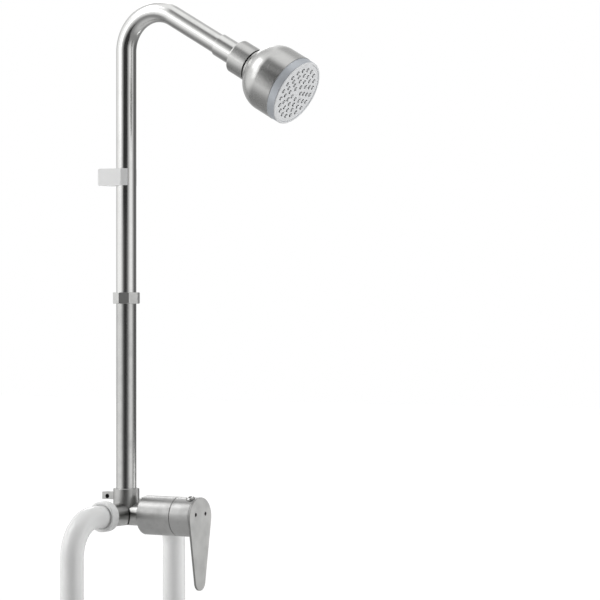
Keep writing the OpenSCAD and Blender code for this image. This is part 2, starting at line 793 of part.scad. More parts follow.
// Upper half of the riser, bent over into the arm
module upper_riser_tube() {
  arm_end = sleeve_start + tube_in_sleeve;
  color([0.66, 0.66, 0.65]) at_valve() difference() {
    riser_route(tube_r, tail_z, arm_end);
    riser_route(tube_bore_r, tail_z - over, arm_end + over);
  }
}

// White plastic clip that holds the upper riser off the wall
module riser_clip() {
  bore_r = tube_r + slip_gap;
  half_w = bore_r + clip_wall;
  lip_line = (bore_r + clip_lip_t) * sqrt(2);
  mouth_half = bore_r * clip_mouth;
  hole_r = clip_hole_d / 2;
  sink_cut = 0.2;
  sink_start = bore_r + sink_cut;
  color([0.93, 0.93, 0.92]) at_valve() difference() {
    translate([0, 0, clip_z - clip_h / 2]) linear_extrude(height = clip_h) difference() {
      polygon([
        [-half_w, stand_off], [half_w, stand_off],
        [half_w, half_w - lip_line], [mouth_half, mouth_half - lip_line],
        [-mouth_half, mouth_half - lip_line], [-half_w, half_w - lip_line]
      ]);
      circle(r = bore_r);
      translate([-mouth_half, -2 * half_w]) square([2 * mouth_half, 2 * half_w]);
    }
    translate([0, 0, clip_z]) rotate([-90, 0, 0]) bar(hole_r, 0, stand_off + over);
    translate([0, 0, clip_z]) rotate([-90, 0, 0]) {
      bar(2 * hole_r, 0, sink_start);
      translate([0, 0, sink_start])
        cylinder(r1 = 2 * hole_r, r2 = hole_r, h = bore_r + clip_sink - sink_start);
    }
  }
}

// Sleeve brazed on the arm's end, with the thread for the head
module arm_sleeve() {
  tube_stop = sleeve_start + tube_in_sleeve;
  color([0.7, 0.7, 0.69]) at_arm() difference() {
    union() {
      bar(sleeve_r, sleeve_start, arm_len, steel_edge / 2, 0);
      bar(arm_thread_r, arm_len, arm_len + arm_thread_l, 0, steel_edge);
    }
    bar(tube_r + bond_gap, sleeve_start - over, tube_stop);
    bar(arm_bore_r, tube_stop - over, arm_len + arm_thread_l + over);
  }
}

// Rubber washer inside the swivel collar
module collar_washer() {
  color([0.12, 0.12, 0.12]) at_arm()
    pipe(collar_bore_r - slip_gap, ball_bore_r, arm_len + arm_thread_l, arm_len + collar_bore_l);
}

// Steel collar screwed on the arm, with the ball on its front
module swivel_collar() {
  rear_bevel = 1.6;
  collar_front = arm_len + collar_len;
  hollow_floor = collar_front - collar_hollow;
  color([0.72, 0.72, 0.71]) at_arm() difference() {
    union() {
      difference() {
        bar(collar_r, arm_len, collar_front, rear_bevel, steel_edge);
        bar(collar_r - collar_rim, hollow_floor, collar_front + over);
      }
      bar(neck_d / 2, hollow_floor - over, ball_s);
      translate([0, 0, ball_s]) sphere(r = ball_r);
    }
    bar(collar_bore_r, arm_len - over, arm_len + collar_bore_l);
    bar(ball_bore_r, arm_len, ball_s + ball_r + over);
  }
}

// Plastic lining that slides between the ball and its seat
module ball_lining() {
  color([0.9, 0.9, 0.86]) at_ball() difference() {
    intersection() {
      sphere(r = lining_out_r);
      bar(lining_out_r + over, -lining_half, lining_half);
    }
    sphere(r = lining_in_r);
  }
}

// Brass ring screwed in behind the ball
module ball_retainer() {
  mouth_start = -6.6;
  color([0.78, 0.62, 0.3]) at_ball() difference() {
    bar(seat_cup_r - slip_gap, retainer_rear, -slip_gap);
    sphere(r = seat_r);
    translate([0, 0, retainer_rear - over])
      cylinder(r1 = seat_r, r2 = seat_r - 2, h = mouth_start - retainer_rear + over);
    bar(seat_r - 2, retainer_rear, mouth_start + over);
  }
}

// Brass socket in the bell's back, open at the front for the water
module ball_socket() {
  color([0.78, 0.62, 0.3]) at_ball() difference() {
    union() {
      bar(socket_out_r, socket_rear, socket_front);
      bar(feed_out_r, socket_front, feed_end);
    }
    bar(seat_cup_r, socket_rear - over, 0);
    sphere(r = seat_r);
    bar(feed_r, 0, feed_end + over);
  }
}

// Small disc that limits the flow
module flow_restrictor() {
  restrictor_start = socket_front + 4;
  restrictor_end = restrictor_start + 3;
  hole_ring_r = 5.5;
  hole_r = 1.2;
  color([0.3, 0.45, 0.6]) at_ball() difference() {
    bar(feed_r - bond_gap, restrictor_start, restrictor_end);
    for (turn = [0 : 60 : 300]) rotate([0, 0, turn]) translate([hole_ring_r, 0, 0])
      bar(hole_r, restrictor_start - over, restrictor_end + over, $fn = 24);
  }
}

// Outside or inside of the bell: a dome of half an oval, closed at the radius stop_r, and a skirt
module bell_form(r, depth, stop_r, end) {
  stop_turn = acos(stop_r / r);
  dome = [
    for (i = [0 : dome_steps])
      let (turn = stop_turn * i / dome_steps)
      [r * cos(turn), dome_reach - depth * sin(turn)]
  ];
  rotate_extrude($fn = 128)
    polygon(concat([[0, end], [r, end]], dome, [[0, dome_reach - depth * sin(stop_turn)]]));
}

// Spun steel bell of the shower head
module bell() {
  // Both domes end inside the lip's wall and its hole, so they leave no face of their own there
  outer_stop_r = lip_r + lip_wall / 2;
  inner_stop_r = lip_r - lip_wall / 2;
  lip_front = lip_start + lip_len + 0.6;
  color([0.68, 0.68, 0.66]) at_ball() difference() {
    union() {
      bell_form(bell_r, dome_depth, outer_stop_r, bell_end);
      bar(lip_out_r, lip_start, lip_front, 0.4, 0);
    }
    bell_form(bell_r - bell_wall, dome_depth - bell_wall, inner_stop_r, bell_end + over);
    bar(lip_r, lip_start - over, dome_reach);
  }
}

// Plastic dish that takes the water to the mat
module water_chamber() {
  hub_r = feed_out_r + bond_gap + 3.5;
  color([0.3, 0.3, 0.32]) at_ball() difference() {
    union() {
      bar(hub_r, chamber_hub_start, chamber_back);
      bar(insert_r, chamber_back, mat_back);
    }
    bar(feed_out_r + bond_gap, chamber_hub_start - over, chamber_back + over);
    bar(insert_r - chamber_wall, chamber_back + chamber_wall, mat_back + over);
  }
}

// Copies children to every nozzle of the spray face
module at_nozzles() {
  for (ring = [1 : nozzle_rings])
    for (i = [0 : nozzle_step * ring - 1])
      rotate([0, 0, i * 360 / (nozzle_step * ring)])
        translate([first_ring_r + (ring - 1) * ring_pitch, 0, 0]) children();
}

// Rubber mat with a soft nozzle behind every hole of the spray plate
module nozzle_mat() {
  tip = face_h + nozzle_rise;
  nozzle_root = plate_back - mat_t / 2;
  nozzle_draft = 0.3;
  color([0.92, 0.93, 0.94]) at_ball() difference() {
    union() {
      bar(insert_r, mat_back, plate_back);
      at_nozzles() translate([0, 0, nozzle_root])
        cylinder(r1 = nozzle_d / 2 + nozzle_draft, r2 = nozzle_d / 2, h = tip - nozzle_root, $fn = 24);
    }
    at_nozzles() bar(jet_d / 2, mat_back - over, tip + over, $fn = 16);
  }
}

// Pale plastic face with a hole for every nozzle
module spray_plate() {
  color([0.86, 0.87, 0.88]) at_ball() difference() {
    bar(insert_r, plate_back, face_h);
    at_nozzles() bar(plate_hole_d / 2, plate_back - over, face_h + over, $fn = 24);
  }
}

// Grey plastic ring that closes the bell and holds the face
module head_ring() {
  front = bell_end + ring_len;
  color([0.62, 0.65, 0.68]) at_ball() difference() {
    union() {
      bar(ring_spigot_r, bell_end - ring_spigot_l, bell_end);
      bar(ring_r, bell_end, front, 0, plastic_edge);
    }
    bar(ring_bore_r, bell_end - ring_spigot_l - over, front + over);
  }
}

valve_body();
riser_seal();
riser_set_screw();
cartridge_housing();
port_seals();
cartridge_base();
fixed_disc();
moving_disc();
cartridge_shell();
spindle();
spindle_seal();
cartridge_nut();
glide_ring();
handle_hub();
clamp_screw();
lever_plate();
plate_screws();
hot_supply_pipe();
cold_supply_pipe();
hot_union_nut();
cold_union_nut();
union_washers();
lower_riser_tube();
coupling_insert();
coupling_washer();
tail_ring();
coupling_nut();
upper_riser_tube();
riser_clip();
arm_sleeve();
collar_washer();
swivel_collar();
ball_lining();
ball_retainer();
ball_socket();
flow_restrictor();
bell();
water_chamber();
nozzle_mat();
spray_plate();
head_ring();
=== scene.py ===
import json
import math

import bmesh
import bpy
from mathutils import Matrix, Vector


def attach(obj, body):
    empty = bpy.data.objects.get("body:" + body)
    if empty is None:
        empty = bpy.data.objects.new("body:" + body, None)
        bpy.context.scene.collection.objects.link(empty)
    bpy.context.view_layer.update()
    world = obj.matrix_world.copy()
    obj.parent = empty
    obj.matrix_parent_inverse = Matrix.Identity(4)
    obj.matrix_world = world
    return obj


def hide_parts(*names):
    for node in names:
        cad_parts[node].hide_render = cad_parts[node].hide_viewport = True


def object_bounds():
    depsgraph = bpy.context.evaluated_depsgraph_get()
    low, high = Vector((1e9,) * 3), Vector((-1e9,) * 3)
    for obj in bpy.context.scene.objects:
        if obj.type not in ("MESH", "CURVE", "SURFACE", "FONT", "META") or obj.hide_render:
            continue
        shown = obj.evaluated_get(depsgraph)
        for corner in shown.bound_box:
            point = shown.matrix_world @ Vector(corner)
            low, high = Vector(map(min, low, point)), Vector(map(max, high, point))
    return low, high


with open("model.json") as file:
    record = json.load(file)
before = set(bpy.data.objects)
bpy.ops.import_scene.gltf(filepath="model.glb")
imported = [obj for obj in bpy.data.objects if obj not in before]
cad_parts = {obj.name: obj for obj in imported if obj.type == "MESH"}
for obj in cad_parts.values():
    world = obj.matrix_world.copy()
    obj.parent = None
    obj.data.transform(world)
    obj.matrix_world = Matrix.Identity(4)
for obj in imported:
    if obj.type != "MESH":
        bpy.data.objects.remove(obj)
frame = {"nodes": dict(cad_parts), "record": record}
cad_box = [list(corner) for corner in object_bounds()]

# Camera: it stands level in front of the shower, well to its hot side, and looks along the wall.
# A long lens keeps the riser and the pipes nearly parallel, as the photograph shows them.
camera_turn = -59.5
camera = bpy.data.objects.new("camera", bpy.data.cameras.new("camera"))
bpy.context.scene.collection.objects.link(camera)
camera.location = (-2.3457, -1.6292, 0.2134)
camera.rotation_euler = (math.radians(90), 0, math.radians(camera_turn))
camera.data.lens = 156
camera.data.sensor_width = 36
camera.data.clip_end = 50
bpy.context.scene.camera = camera
bpy.context.scene.view_settings.view_transform = "Standard"

# Studio light: the camera sees plain white, and the steel mirrors a plain room around the shower.
# The room has bright walls to the left and less bright ones to the right, dark screens near the
# camera, a pale ceiling and a dim lower part. Six soft lamps stand in it.
world = bpy.data.worlds.new("studio")
bpy.context.scene.world = world
world.use_nodes = True
studio = world.node_tree
studio.nodes.clear()
wire = studio.links.new


def node(tree, kind, levels=None, **settings):
    """Adds a node, with its settings and the levels of its named inputs."""
    made = tree.nodes.new(kind)
    for key, value in settings.items():
        setattr(made, key, value)
    for label, level in (levels or {}).items():
        made.inputs[label].default_value = level
    return made


def grey_ramp(stops):
    """Grey ramp of the studio from (position, level) stops."""
    made = node(studio, "ShaderNodeValToRGB")
    elements = made.color_ramp.elements
    while len(elements) > 1:
        elements.remove(elements[-1])
    for i, (at, level) in enumerate(stops):
        stop = elements.new(at) if i else elements[0]
        stop.position = at
        stop.color = (level, level, level, 1)
    return made


view_ray = node(studio, "ShaderNodeTexCoord").outputs["Generated"]
to_camera = node(studio, "ShaderNodeVectorRotate", {"Angle": math.radians(-270 - camera_turn)},
                 rotation_type="Z_AXIS")
around = node(studio, "ShaderNodeTexGradient", gradient_type="RADIAL")
wire(view_ray, to_camera.inputs["Vector"])
wire(to_camera.outputs["Vector"], around.inputs["Vector"])
# Level of light by the direction around the shower: 0.5 is the camera, smaller is to its left
walls = grey_ramp([(0.0, 0.9), (0.04, 0.5), (0.12, 0.55), (0.2, 0.98), (0.26, 1.0), (0.32, 0.98),
                   (0.37, 0.62), (0.41, 0.2), (0.455, 0.04), (0.5, 0.035), (0.54, 0.14), (0.585, 0.5),
                   (0.62, 0.9), (0.68, 1.0), (0.72, 0.6), (0.78, 0.12), (0.86, 0.14), (0.93, 0.22),
                   (1.0, 0.9)])
upper_walls = grey_ramp([(0.0, 1.0), (0.09, 0.62), (0.19, 0.9), (0.31, 1.0), (0.35, 0.8), (0.375, 0.15),
                         (0.40, 0.02), (0.56, 0.02), (0.62, 0.5), (0.78, 0.5), (0.9, 0.6), (0.96, 0.5),
                         (1.0, 1.0)])
wire(around.outputs["Fac"], walls.inputs["Fac"])
wire(around.outputs["Fac"], upper_walls.inputs["Fac"])
height = node(studio, "ShaderNodeSeparateXYZ")
wire(view_ray, height.inputs["Vector"])


def layer(below, above, start, end):
    """Blends one level of the room into the next between two heights."""
    lift = node(studio, "ShaderNodeMapRange", {"From Min": start, "From Max": end})
    blend = node(studio, "ShaderNodeMix", data_type="RGBA")
    wire(height.outputs["Z"], lift.inputs["Value"])
    wire(lift.outputs["Result"], blend.inputs["Factor"])
    wire(below, blend.inputs["A"])
    if isinstance(above, float):
        blend.inputs["B"].default_value = (above, above, above, 1)
    else:
        wire(above, blend.inputs["B"])
    return blend.outputs["Result"]


ceiling_level = 0.95
lower_level = 0.26
room = layer(walls.outputs["Color"], upper_walls.outputs["Color"], 0.2, 0.5)
room = layer(room, ceiling_level, 0.86, 0.97)
room = layer(room, lower_level, -0.15, -0.48)
room_light = node(studio, "ShaderNodeBackground", {"Strength": 1.15})
white = node(studio, "ShaderNodeBackground", {"Color": (1, 1, 1, 1), "Strength": 1})
seen = node(studio, "ShaderNodeLightPath")
choose = node(studio, "ShaderNodeMixShader")
wire(room, room_light.inputs["Color"])
wire(seen.outputs["Is Camera Ray"], choose.inputs["Fac"])
wire(room_light.outputs["Background"], choose.inputs[1])
wire(white.outputs["Background"], choose.inputs[2])
wire(choose.outputs["Shader"], node(studio, "ShaderNodeOutputWorld").inputs["Surface"])


def softbox(name, place, aim, size, power, mirrored=True):
    """Soft square lamp at a place, turned to its aim, which the steel mirrors or not."""
    data = bpy.data.lights.new(name, "AREA")
    data.shape = "RECTANGLE"
    data.size, data.size_y = size
    data.energy = power
    lamp = bpy.data.objects.new(name, data)
    bpy.context.scene.collection.objects.link(lamp)
    lamp.location = place
    lamp.rotation_euler = (Vector(aim) - Vector(place)).to_track_quat("-Z", "Y").to_euler()
    lamp.visible_glossy = mirrored


softbox("key", (-0.9, 1.3, 2.0), (0, -0.08, 0.1), (1.1, 1.1), 7)
softbox("front", (-1.95, 1.51, 1.24), (0, -0.15, 0.4), (1.25, 1.35), 4.4)
softbox("left_wash", (-1.9, 1.9, 0.5), (0, -0.08, 0.2), (1.5, 1.5), 23, mirrored=False)
softbox("right_wash", (1.2, -2.3, 0.5), (0, -0.08, 0.2), (1.5, 1.5), 30, mirrored=False)
softbox("rim", (1.602, 1.185, 1.41), (0, -0.09, -0.02), (0.6, 0.6), 2.3)
softbox("lever_card", (0.40, -0.36, -0.075), (0, -0.12, -0.06), (0.3, 0.17), 0.17)


# Dark card: a small black board beside the head, such as a studio puts next to steel.
# Only the steel mirrors it, and it makes the dark side of the bell.
def studio_sheet(name, corners, grey):
    """Flat dull sheet of the studio, which isn't part of the shower."""
    mesh = bpy.data.meshes.new(name)
    mesh.from_pydata(corners, [], [(0, 1, 2, 3)])
    made = bpy.data.objects.new(name, mesh)
    bpy.context.scene.collection.objects.link(made)
    paint = bpy.data.materials.new(name)
    paint.use_nodes = True
    shader = paint.node_tree.nodes["Principled BSDF"]
    shader.inputs["Base Color"].default_value = (grey, grey, grey, 1)
    shader.inputs["Roughness"].default_value = 0.9
    mesh.materials.append(paint)
    return made


card = studio_sheet("dark_card", [(-0.3, -0.33, 0.31), (-0.3, -0.015, 0.31), (-0.3, -0.095, 0.7),
                                  (-0.3, -0.33, 0.7)], 0.03)
card.visible_camera = False
card.visible_diffuse = False
card.visible_shadow = False

# Floor: a plain pale sheet at the height of the pipes' ends, which keeps the shower's shadow.
# The steel mirrors only a pale patch of it close by, and beyond that the room's dim lower part.
floor_reach = 6
floor_z = cad_box[0][2]
floor = studio_sheet("floor", [(x * floor_reach, y * floor_reach, floor_z)
                               for x, y in ((-1, -1), (1, -1), (1, 1), (-1, 1))], 0.45)
floor_tree = floor.data.materials[0].node_tree
floor_shader = floor_tree.nodes["Principled BSDF"]
floor_shader.inputs["Emission Color"].default_value = (1, 1, 1, 1)
floor_ray = node(floor_tree, "ShaderNodeLightPath")
floor_far = node(floor_tree, "ShaderNodeVectorMath", operation="LENGTH")
floor_glow = node(floor_tree, "ShaderNodeMapRange",
                  {"From Min": 0.3, "From Max": 2.5, "To Min": 0.56, "To Max": 0.7})
seen_glow = node(floor_tree, "ShaderNodeMath", operation="MULTIPLY")
patch_edge = node(floor_tree, "ShaderNodeMapRange", {"From Min": 0.35, "From Max": 0.75})
patch = node(floor_tree, "ShaderNodeEmission", {"Strength": 0.62})
clear = node(floor_tree, "ShaderNodeBsdfTransparent")
mirrored_floor = node(floor_tree, "ShaderNodeMixShader")
shown_floor = node(floor_tree, "ShaderNodeMixShader")
wire = floor_tree.links.new
wire(node(floor_tree, "ShaderNodeTexCoord").outputs["Object"], floor_far.inputs[0])
wire(floor_far.outputs["Value"], floor_glow.inputs["Value"])
wire(floor_ray.outputs["Is Camera Ray"], seen_glow.inputs[0])
wire(floor_glow.outputs["Result"], seen_glow.inputs[1])
wire(seen_glow.outputs["Value"], floor_shader.inputs["Emission Strength"])
wire(floor_far.outputs["Value"], patch_edge.inputs["Value"])
wire(patch_edge.outputs["Result"], mirrored_floor.inputs["Fac"])
wire(patch.outputs["Emission"], mirrored_floor.inputs[1])
wire(clear.outputs["BSDF"], mirrored_floor.inputs[2])
wire(floor_ray.outputs["Is Glossy Ray"], shown_floor.inputs["Fac"])
wire(floor_shader.outputs["BSDF"], shown_floor.inputs[1])
wire(mirrored_floor.outputs["Shader"], shown_floor.inputs[2])
wire(shown_floor.outputs["Shader"], floor_tree.nodes["Material Output"].inputs["Surface"])

# Valve body: steel branches joined into a cross and sanded all over, with the riser's socket on
# top, an inlet at each side, a neck for the cartridge in front, and a lug that is fixed to the
# wall by its cross hole. It keeps its CAD shape, with softened edges and fine grooves. The walls of
# the mitre grooves and of the cross hole are painted nearly black as painted shade.
MM = 0.001
stand_off = 27.8
lug_rise = 19.6
lug_hole_inset = 6.8
lug_hole_drop = 0.6
lug_hole_r = 2.5
lug_hole_half = 5.6
socket_r = 14.25
socket_groove_w, socket_groove_low, socket_groove_high = 0.75, 5.5, 13
mitre_groove_w, mitre_groove_start, mitre_groove_end = 1.4, -64, 34
mitre_groove_floor, mitre_groove_rim = (15.6, 11.0), (18.5, 13.4)
branch_section = (17.32, 12.25)
centre = Matrix.Translation((0, -stand_off, -lug_rise))


def new_group(name, inputs, outputs):
    """Shader node group with its input and output nodes, from (label, kind, level) lists."""
    group = bpy.data.node_groups.new(name, "ShaderNodeTree")
    for label, kind, level in inputs:
        socket = group.interface.new_socket(label, in_out="INPUT", socket_type="NodeSocket" + kind)
        if level is not None:
            socket.default_value = level
    for label, kind in outputs:
        group.interface.new_socket(label, in_out="OUTPUT", socket_type="NodeSocket" + kind)
    return group, node(group, "NodeGroupInput"), node(group, "NodeGroupOutput")


# Grain: fine lines along one direction. Lines gives the scale across and along them.
grain_group, enter, leave = new_group(
    "grain",
    [("Vector", "Vector", None), ("Lines", "Vector", (1, 1, 1)), ("Depth", "Float", 0.5),
     ("Gloss", "Float", 0.3), ("Spread", "Float", 0.1)],
    [("Bump Height", "Float"), ("Roughness", "Float")])
stretch = node(grain_group, "ShaderNodeVectorMath", operation="MULTIPLY")
fine = node(grain_group, "ShaderNodeTexNoise", {"Scale": 1, "Detail": 4, "Roughness": 0.7})
deep = node(grain_group, "ShaderNodeMath", operation="MULTIPLY")
level = node(grain_group, "ShaderNodeMath", {1: 0.5}, operation="SUBTRACT")
rough = node(grain_group, "ShaderNodeMath", operation="MULTIPLY_ADD")
wire = grain_group.links.new
wire(enter.outputs["Vector"], stretch.inputs[0])
wire(enter.outputs["Lines"], stretch.inputs[1])
wire(stretch.outputs["Vector"], fine.inputs["Vector"])
wire(fine.outputs["Fac"], deep.inputs[0])
wire(enter.outputs["Depth"], deep.inputs[1])
wire(deep.outputs["Value"], leave.inputs["Bump Height"])
wire(fine.outputs["Fac"], level.inputs[0])
wire(level.outputs["Value"], rough.inputs[0])
wire(enter.outputs["Spread"], rough.inputs[1])
wire(enter.outputs["Gloss"], rough.inputs[2])
wire(rough.outputs["Value"], leave.inputs["Roughness"])

# Marks: soft uneven patches, such as handling marks and dried water, for colour and gloss.
marks_group, enter, leave = new_group(
    "marks",
    [("Vector", "Vector", None), ("Size", "Float", 60.0), ("Clean", "Color", (0.6, 0.6, 0.6, 1)),
     ("Marked", "Color", (0.5, 0.5, 0.5, 1)), ("Amount", "Float", 0.5), ("Gloss", "Float", 0.3),
     ("Dulling", "Float", 0.1)],
    [("Base Color", "Color"), ("Roughness", "Float")])
cloud = node(marks_group, "ShaderNodeTexNoise", {"Detail": 5, "Roughness": 0.62})
patches = node(marks_group, "ShaderNodeMapRange", {"From Min": 0.42, "From Max": 0.68})
share = node(marks_group, "ShaderNodeMath", operation="MULTIPLY")
tint = node(marks_group, "ShaderNodeMix", data_type="RGBA")
dull = node(marks_group, "ShaderNodeMath", operation="MULTIPLY_ADD")
wire = marks_group.links.new
wire(enter.outputs["Vector"], cloud.inputs["Vector"])
wire(enter.outputs["Size"], cloud.inputs["Scale"])
wire(cloud.outputs["Fac"], patches.inputs["Value"])
wire(patches.outputs["Result"], share.inputs[0])
wire(enter.outputs["Amount"], share.inputs[1])
wire(share.outputs["Value"], tint.inputs["Factor"])
wire(enter.outputs["Clean"], tint.inputs["A"])
wire(enter.outputs["Marked"], tint.inputs["B"])
wire(tint.outputs["Result"], leave.inputs["Base Color"])
wire(share.outputs["Value"], dull.inputs[0])
wire(enter.outputs["Dulling"], dull.inputs[1])
wire(enter.outputs["Gloss"], dull.inputs[2])
wire(dull.outputs["Value"], leave.inputs["Roughness"])


def material(name, clean, marked, gloss, metallic=0.0, lines=(900, 900, 900), depth=0.5, bump=0.00002,
             size=60.0, amount=0.5, dulling=0.1, spread=0.1, attribute=None, coat=0.0, brushed=0.0):
    """Finish of the two effects, on Object coordinates or with its lines on a named attribute.
    Clean and marked are its colours, gloss its roughness, depth and bump the relief of its lines,
    and size, amount and dulling its patches. Brushed stretches the gloss along the piece's
    outline, across lines that run around it."""
    made = bpy.data.materials.new(name)
    made.use_nodes = True
    tree = made.node_tree
    shader = tree.nodes["Principled BSDF"]
    where = node(tree, "ShaderNodeTexCoord").outputs["Object"]
    along = where
    if attribute:
        along = node(tree, "ShaderNodeAttribute", attribute_name=attribute).outputs["Vector"]
    grain = node(tree, "ShaderNodeGroup", node_tree=grain_group)
    for label, value in (("Lines", lines), ("Depth", depth), ("Spread", spread)):
        grain.inputs[label].default_value = value
    marks = node(tree, "ShaderNodeGroup", node_tree=marks_group)
    for label, value in (("Size", size), ("Clean", (*clean, 1)), ("Marked", (*marked, 1)), ("Amount", amount),
                         ("Gloss", gloss), ("Dulling", dulling)):
        marks.inputs[label].default_value = value
    relief = node(tree, "ShaderNodeBump", {"Strength": 1, "Distance": bump})
    tree.links.new(along, grain.inputs["Vector"])
    tree.links.new(where, marks.inputs["Vector"])
    tree.links.new(marks.outputs["Roughness"], grain.inputs["Gloss"])
    tree.links.new(marks.outputs["Base Color"], shader.inputs["Base Color"])
    tree.links.new(grain.outputs["Roughness"], shader.inputs["Roughness"])
    tree.links.new(grain.outputs["Bump Height"], relief.inputs["Height"])
    tree.links.new(relief.outputs["Normal"], shader.inputs["Normal"])
    for label, value in (("Metallic", metallic), ("Coat Weight", coat), ("Coat Roughness", 0.12),
                         ("IOR", 1.45)):
        shader.inputs[label].default_value = value
    if brushed:
        across = node(tree, "ShaderNodeTangent", direction_type="UV_MAP", uv_map="outline")
        tree.links.new(across.outputs["Tangent"], shader.inputs["Tangent"])
        shader.inputs["Anisotropic"].default_value = brushed
        shader.inputs["Anisotropic Rotation"].default_value = 0.25
    return made


def finish_piece(obj, body, slot, paint, *cad_nodes):
    """Gives a piece its finish and the body it rides on, and hides the CAD nodes it stands for."""
    obj.data.materials.clear()
    obj.data.materials.append(paint)
    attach(obj, body)
    if cad_nodes:
        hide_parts(*cad_nodes)


def second_finish(obj, paint, covers):
    """Gives the faces of a finished piece that a test picks another finish."""
    obj.data.materials.append(paint)
    for face in obj.data.polygons:
        if covers(face):
            face.material_index = 1


def applied(obj):
    """Turns what an object's modifiers make into its own mesh."""
    result = bpy.data.meshes.new_from_object(obj.evaluated_get(bpy.context.evaluated_depsgraph_get()))
    obj.modifiers.clear()
    obj.data = result


def smoothed(obj):
    """Smooth faces with hard edges above an angle, and large flat faces kept flat."""
    obj.data.polygons.foreach_set("use_smooth", [True] * len(obj.data.polygons))
    obj.data.set_sharp_from_angle(angle=math.radians(35))
    flat = obj.modifiers.new("flat", "WEIGHTED_NORMAL")
    flat.keep_sharp = True
    flat.weight = 80
    applied(obj)
    return obj


def softened(name, cad_node, width, segments=2):
    """Copy of a CAD node with merged corners and rounded edges."""
    obj = bpy.data.objects.new(name, frame["nodes"][cad_node].data.copy())
    bpy.context.scene.collection.objects.link(obj)
    work = bmesh.new()
    work.from_mesh(obj.data)
    bmesh.ops.remove_doubles(work, verts=work.verts, dist=1e-6)
    bmesh.ops.dissolve_limit(work, angle_limit=math.radians(0.5), verts=work.verts, edges=work.edges)
    work.to_mesh(obj.data)
    work.free()
    bevel = obj.modifiers.new("bevel", "BEVEL")
    bevel.width = width * MM
    bevel.segments = segments
    bevel.limit_method = "ANGLE"
    bevel.angle_limit = math.radians(28)
    bevel.use_clamp_overlap = True
    applied(obj)
    return smoothed(obj)


def from_bmesh(name, work):
    """Smooth object from a closed bmesh shape, which is freed."""
    bmesh.ops.recalc_face_normals(work, faces=work.faces)
    mesh = bpy.data.meshes.new(name)
    work.to_mesh(mesh)
    work.free()
    obj = bpy.data.objects.new(name, mesh)
    bpy.context.scene.collection.objects.link(obj)
    return smoothed(obj)


def carved(obj, cutters):
    """Cuts a piece with closed bmesh shapes given in millimetres, and removes the shapes."""
    for shape in cutters:
        for v in shape.verts:
            v.co *= MM
        cutter = from_bmesh(obj.name + "_cutter", shape)
        cut = obj.modifiers.new("cut", "BOOLEAN")
        cut.object = cutter
        cut.solver = "EXACT"
        applied(obj)
        bpy.data.objects.remove(cutter)
    baked = obj.data.attributes.get("custom_normal")
    if baked:
        obj.data.attributes.remove(baked)
    return smoothed(obj)


def swept_band(place, inner, outer, low, high, start, end, steps=64):
    """Closed band between two ellipses, from one height and angle to another."""
    band = bmesh.new()
    rings = []
    for k in range(steps + 1):
        t = math.radians(start + (end - start) * k / steps)
        rings.append([band.verts.new(place @ Vector((a * math.cos(t), b * math.sin(t), z)))
                      for (a, b), z in ((inner, low), (outer, low), (outer, high), (inner, high))])
    whole = abs(end - start) == 360
    if whole:
        for v in rings.pop():
            band.verts.remove(v)
    for a, b in zip(rings, rings[1:] + (rings[:1] if whole else [])):
        for i in range(4):
            band.faces.new((a[i], a[(i + 1) % 4], b[(i + 1) % 4], b[i]))
    if not whole:
        band.faces.new(rings[0])
        band.faces.new(rings[-1])
    return band


# One groove runs around the socket's foot, and one down each mitre between an inlet and the neck
mitres = [centre @ Matrix.Rotation(math.radians(turn), 4, "Z") @ Matrix.Rotation(math.radians(90), 4, "X")
          for turn in (-135, -45)]
socket_groove_r = socket_r + socket_groove_w
grooves = [swept_band(centre, (socket_r, socket_r), (socket_groove_r, socket_groove_r),
                      socket_groove_low, socket_groove_high, 0, 360, 96)]
grooves += [swept_band(mitre, mitre_groove_floor, mitre_groove_rim, -mitre_groove_w / 2, mitre_groove_w / 2,
                       mitre_groove_start, mitre_groove_end) for mitre in mitres]
valve = carved(softened("valve_body_cast", "valve_body", 0.5), grooves)
valve_steel = material("valve_steel", (0.50, 0.50, 0.49), (0.40, 0.40, 0.395), 0.3, metallic=1,
                       lines=(1400, 1400, 1400), depth=0.6, bump=0.00003, size=90, amount=0.7, dulling=0.12)
# Nearly black steel: painted shade for grooves and holes that lie in shadow.
seam_steel = material("seam_steel", (0.07, 0.07, 0.07), (0.12, 0.115, 0.11), 0.55, metallic=1,
                      lines=(1400, 1400, 1400), depth=0.6, bump=0.00003, size=300, amount=0.8)


def in_groove_or_hole(face):
    """True below the branches' surface in a mitre's groove, and inside the lug's cross hole, where the
    painted shade goes.
    """
    at = face.center / MM
    from_hole = math.hypot(at.y + lug_hole_inset, at.z + lug_hole_drop)
    if from_hole < lug_hole_r + 0.1 and abs(at.x) < lug_hole_half:
        return True
    for mitre in mitres:
        on = mitre.inverted() @ at
        out = (on.x / branch_section[0]) ** 2 + (on.y / branch_section[1]) ** 2
        if abs(on.z) < mitre_groove_w / 2 + 0.01 and 0.75 < out < 0.995:
            return True
    return False


finish_piece(valve, "fixture", "valve_steel", valve_steel, "valve_body")
# The mitre grooves' walls and the cross hole's walls get the nearly black steel as painted shade.
second_finish(valve, seam_steel, in_groove_or_hole)


# Cartridge housing: a steel cup turned from bar and brushed around its axis. It is joined to the
# neck, and the cartridge sits in it, held by a nut behind the seam.
barrel_r = 21.25
neck_r, cartridge_r, nut_r = 11, 17.5, 18.8
housing_back, cup_floor, nut_back, seam_back = 26.5, 30.5, 48.9, 68.7
forwards = centre @ Matrix.Rotation(math.radians(90), 4, "X")


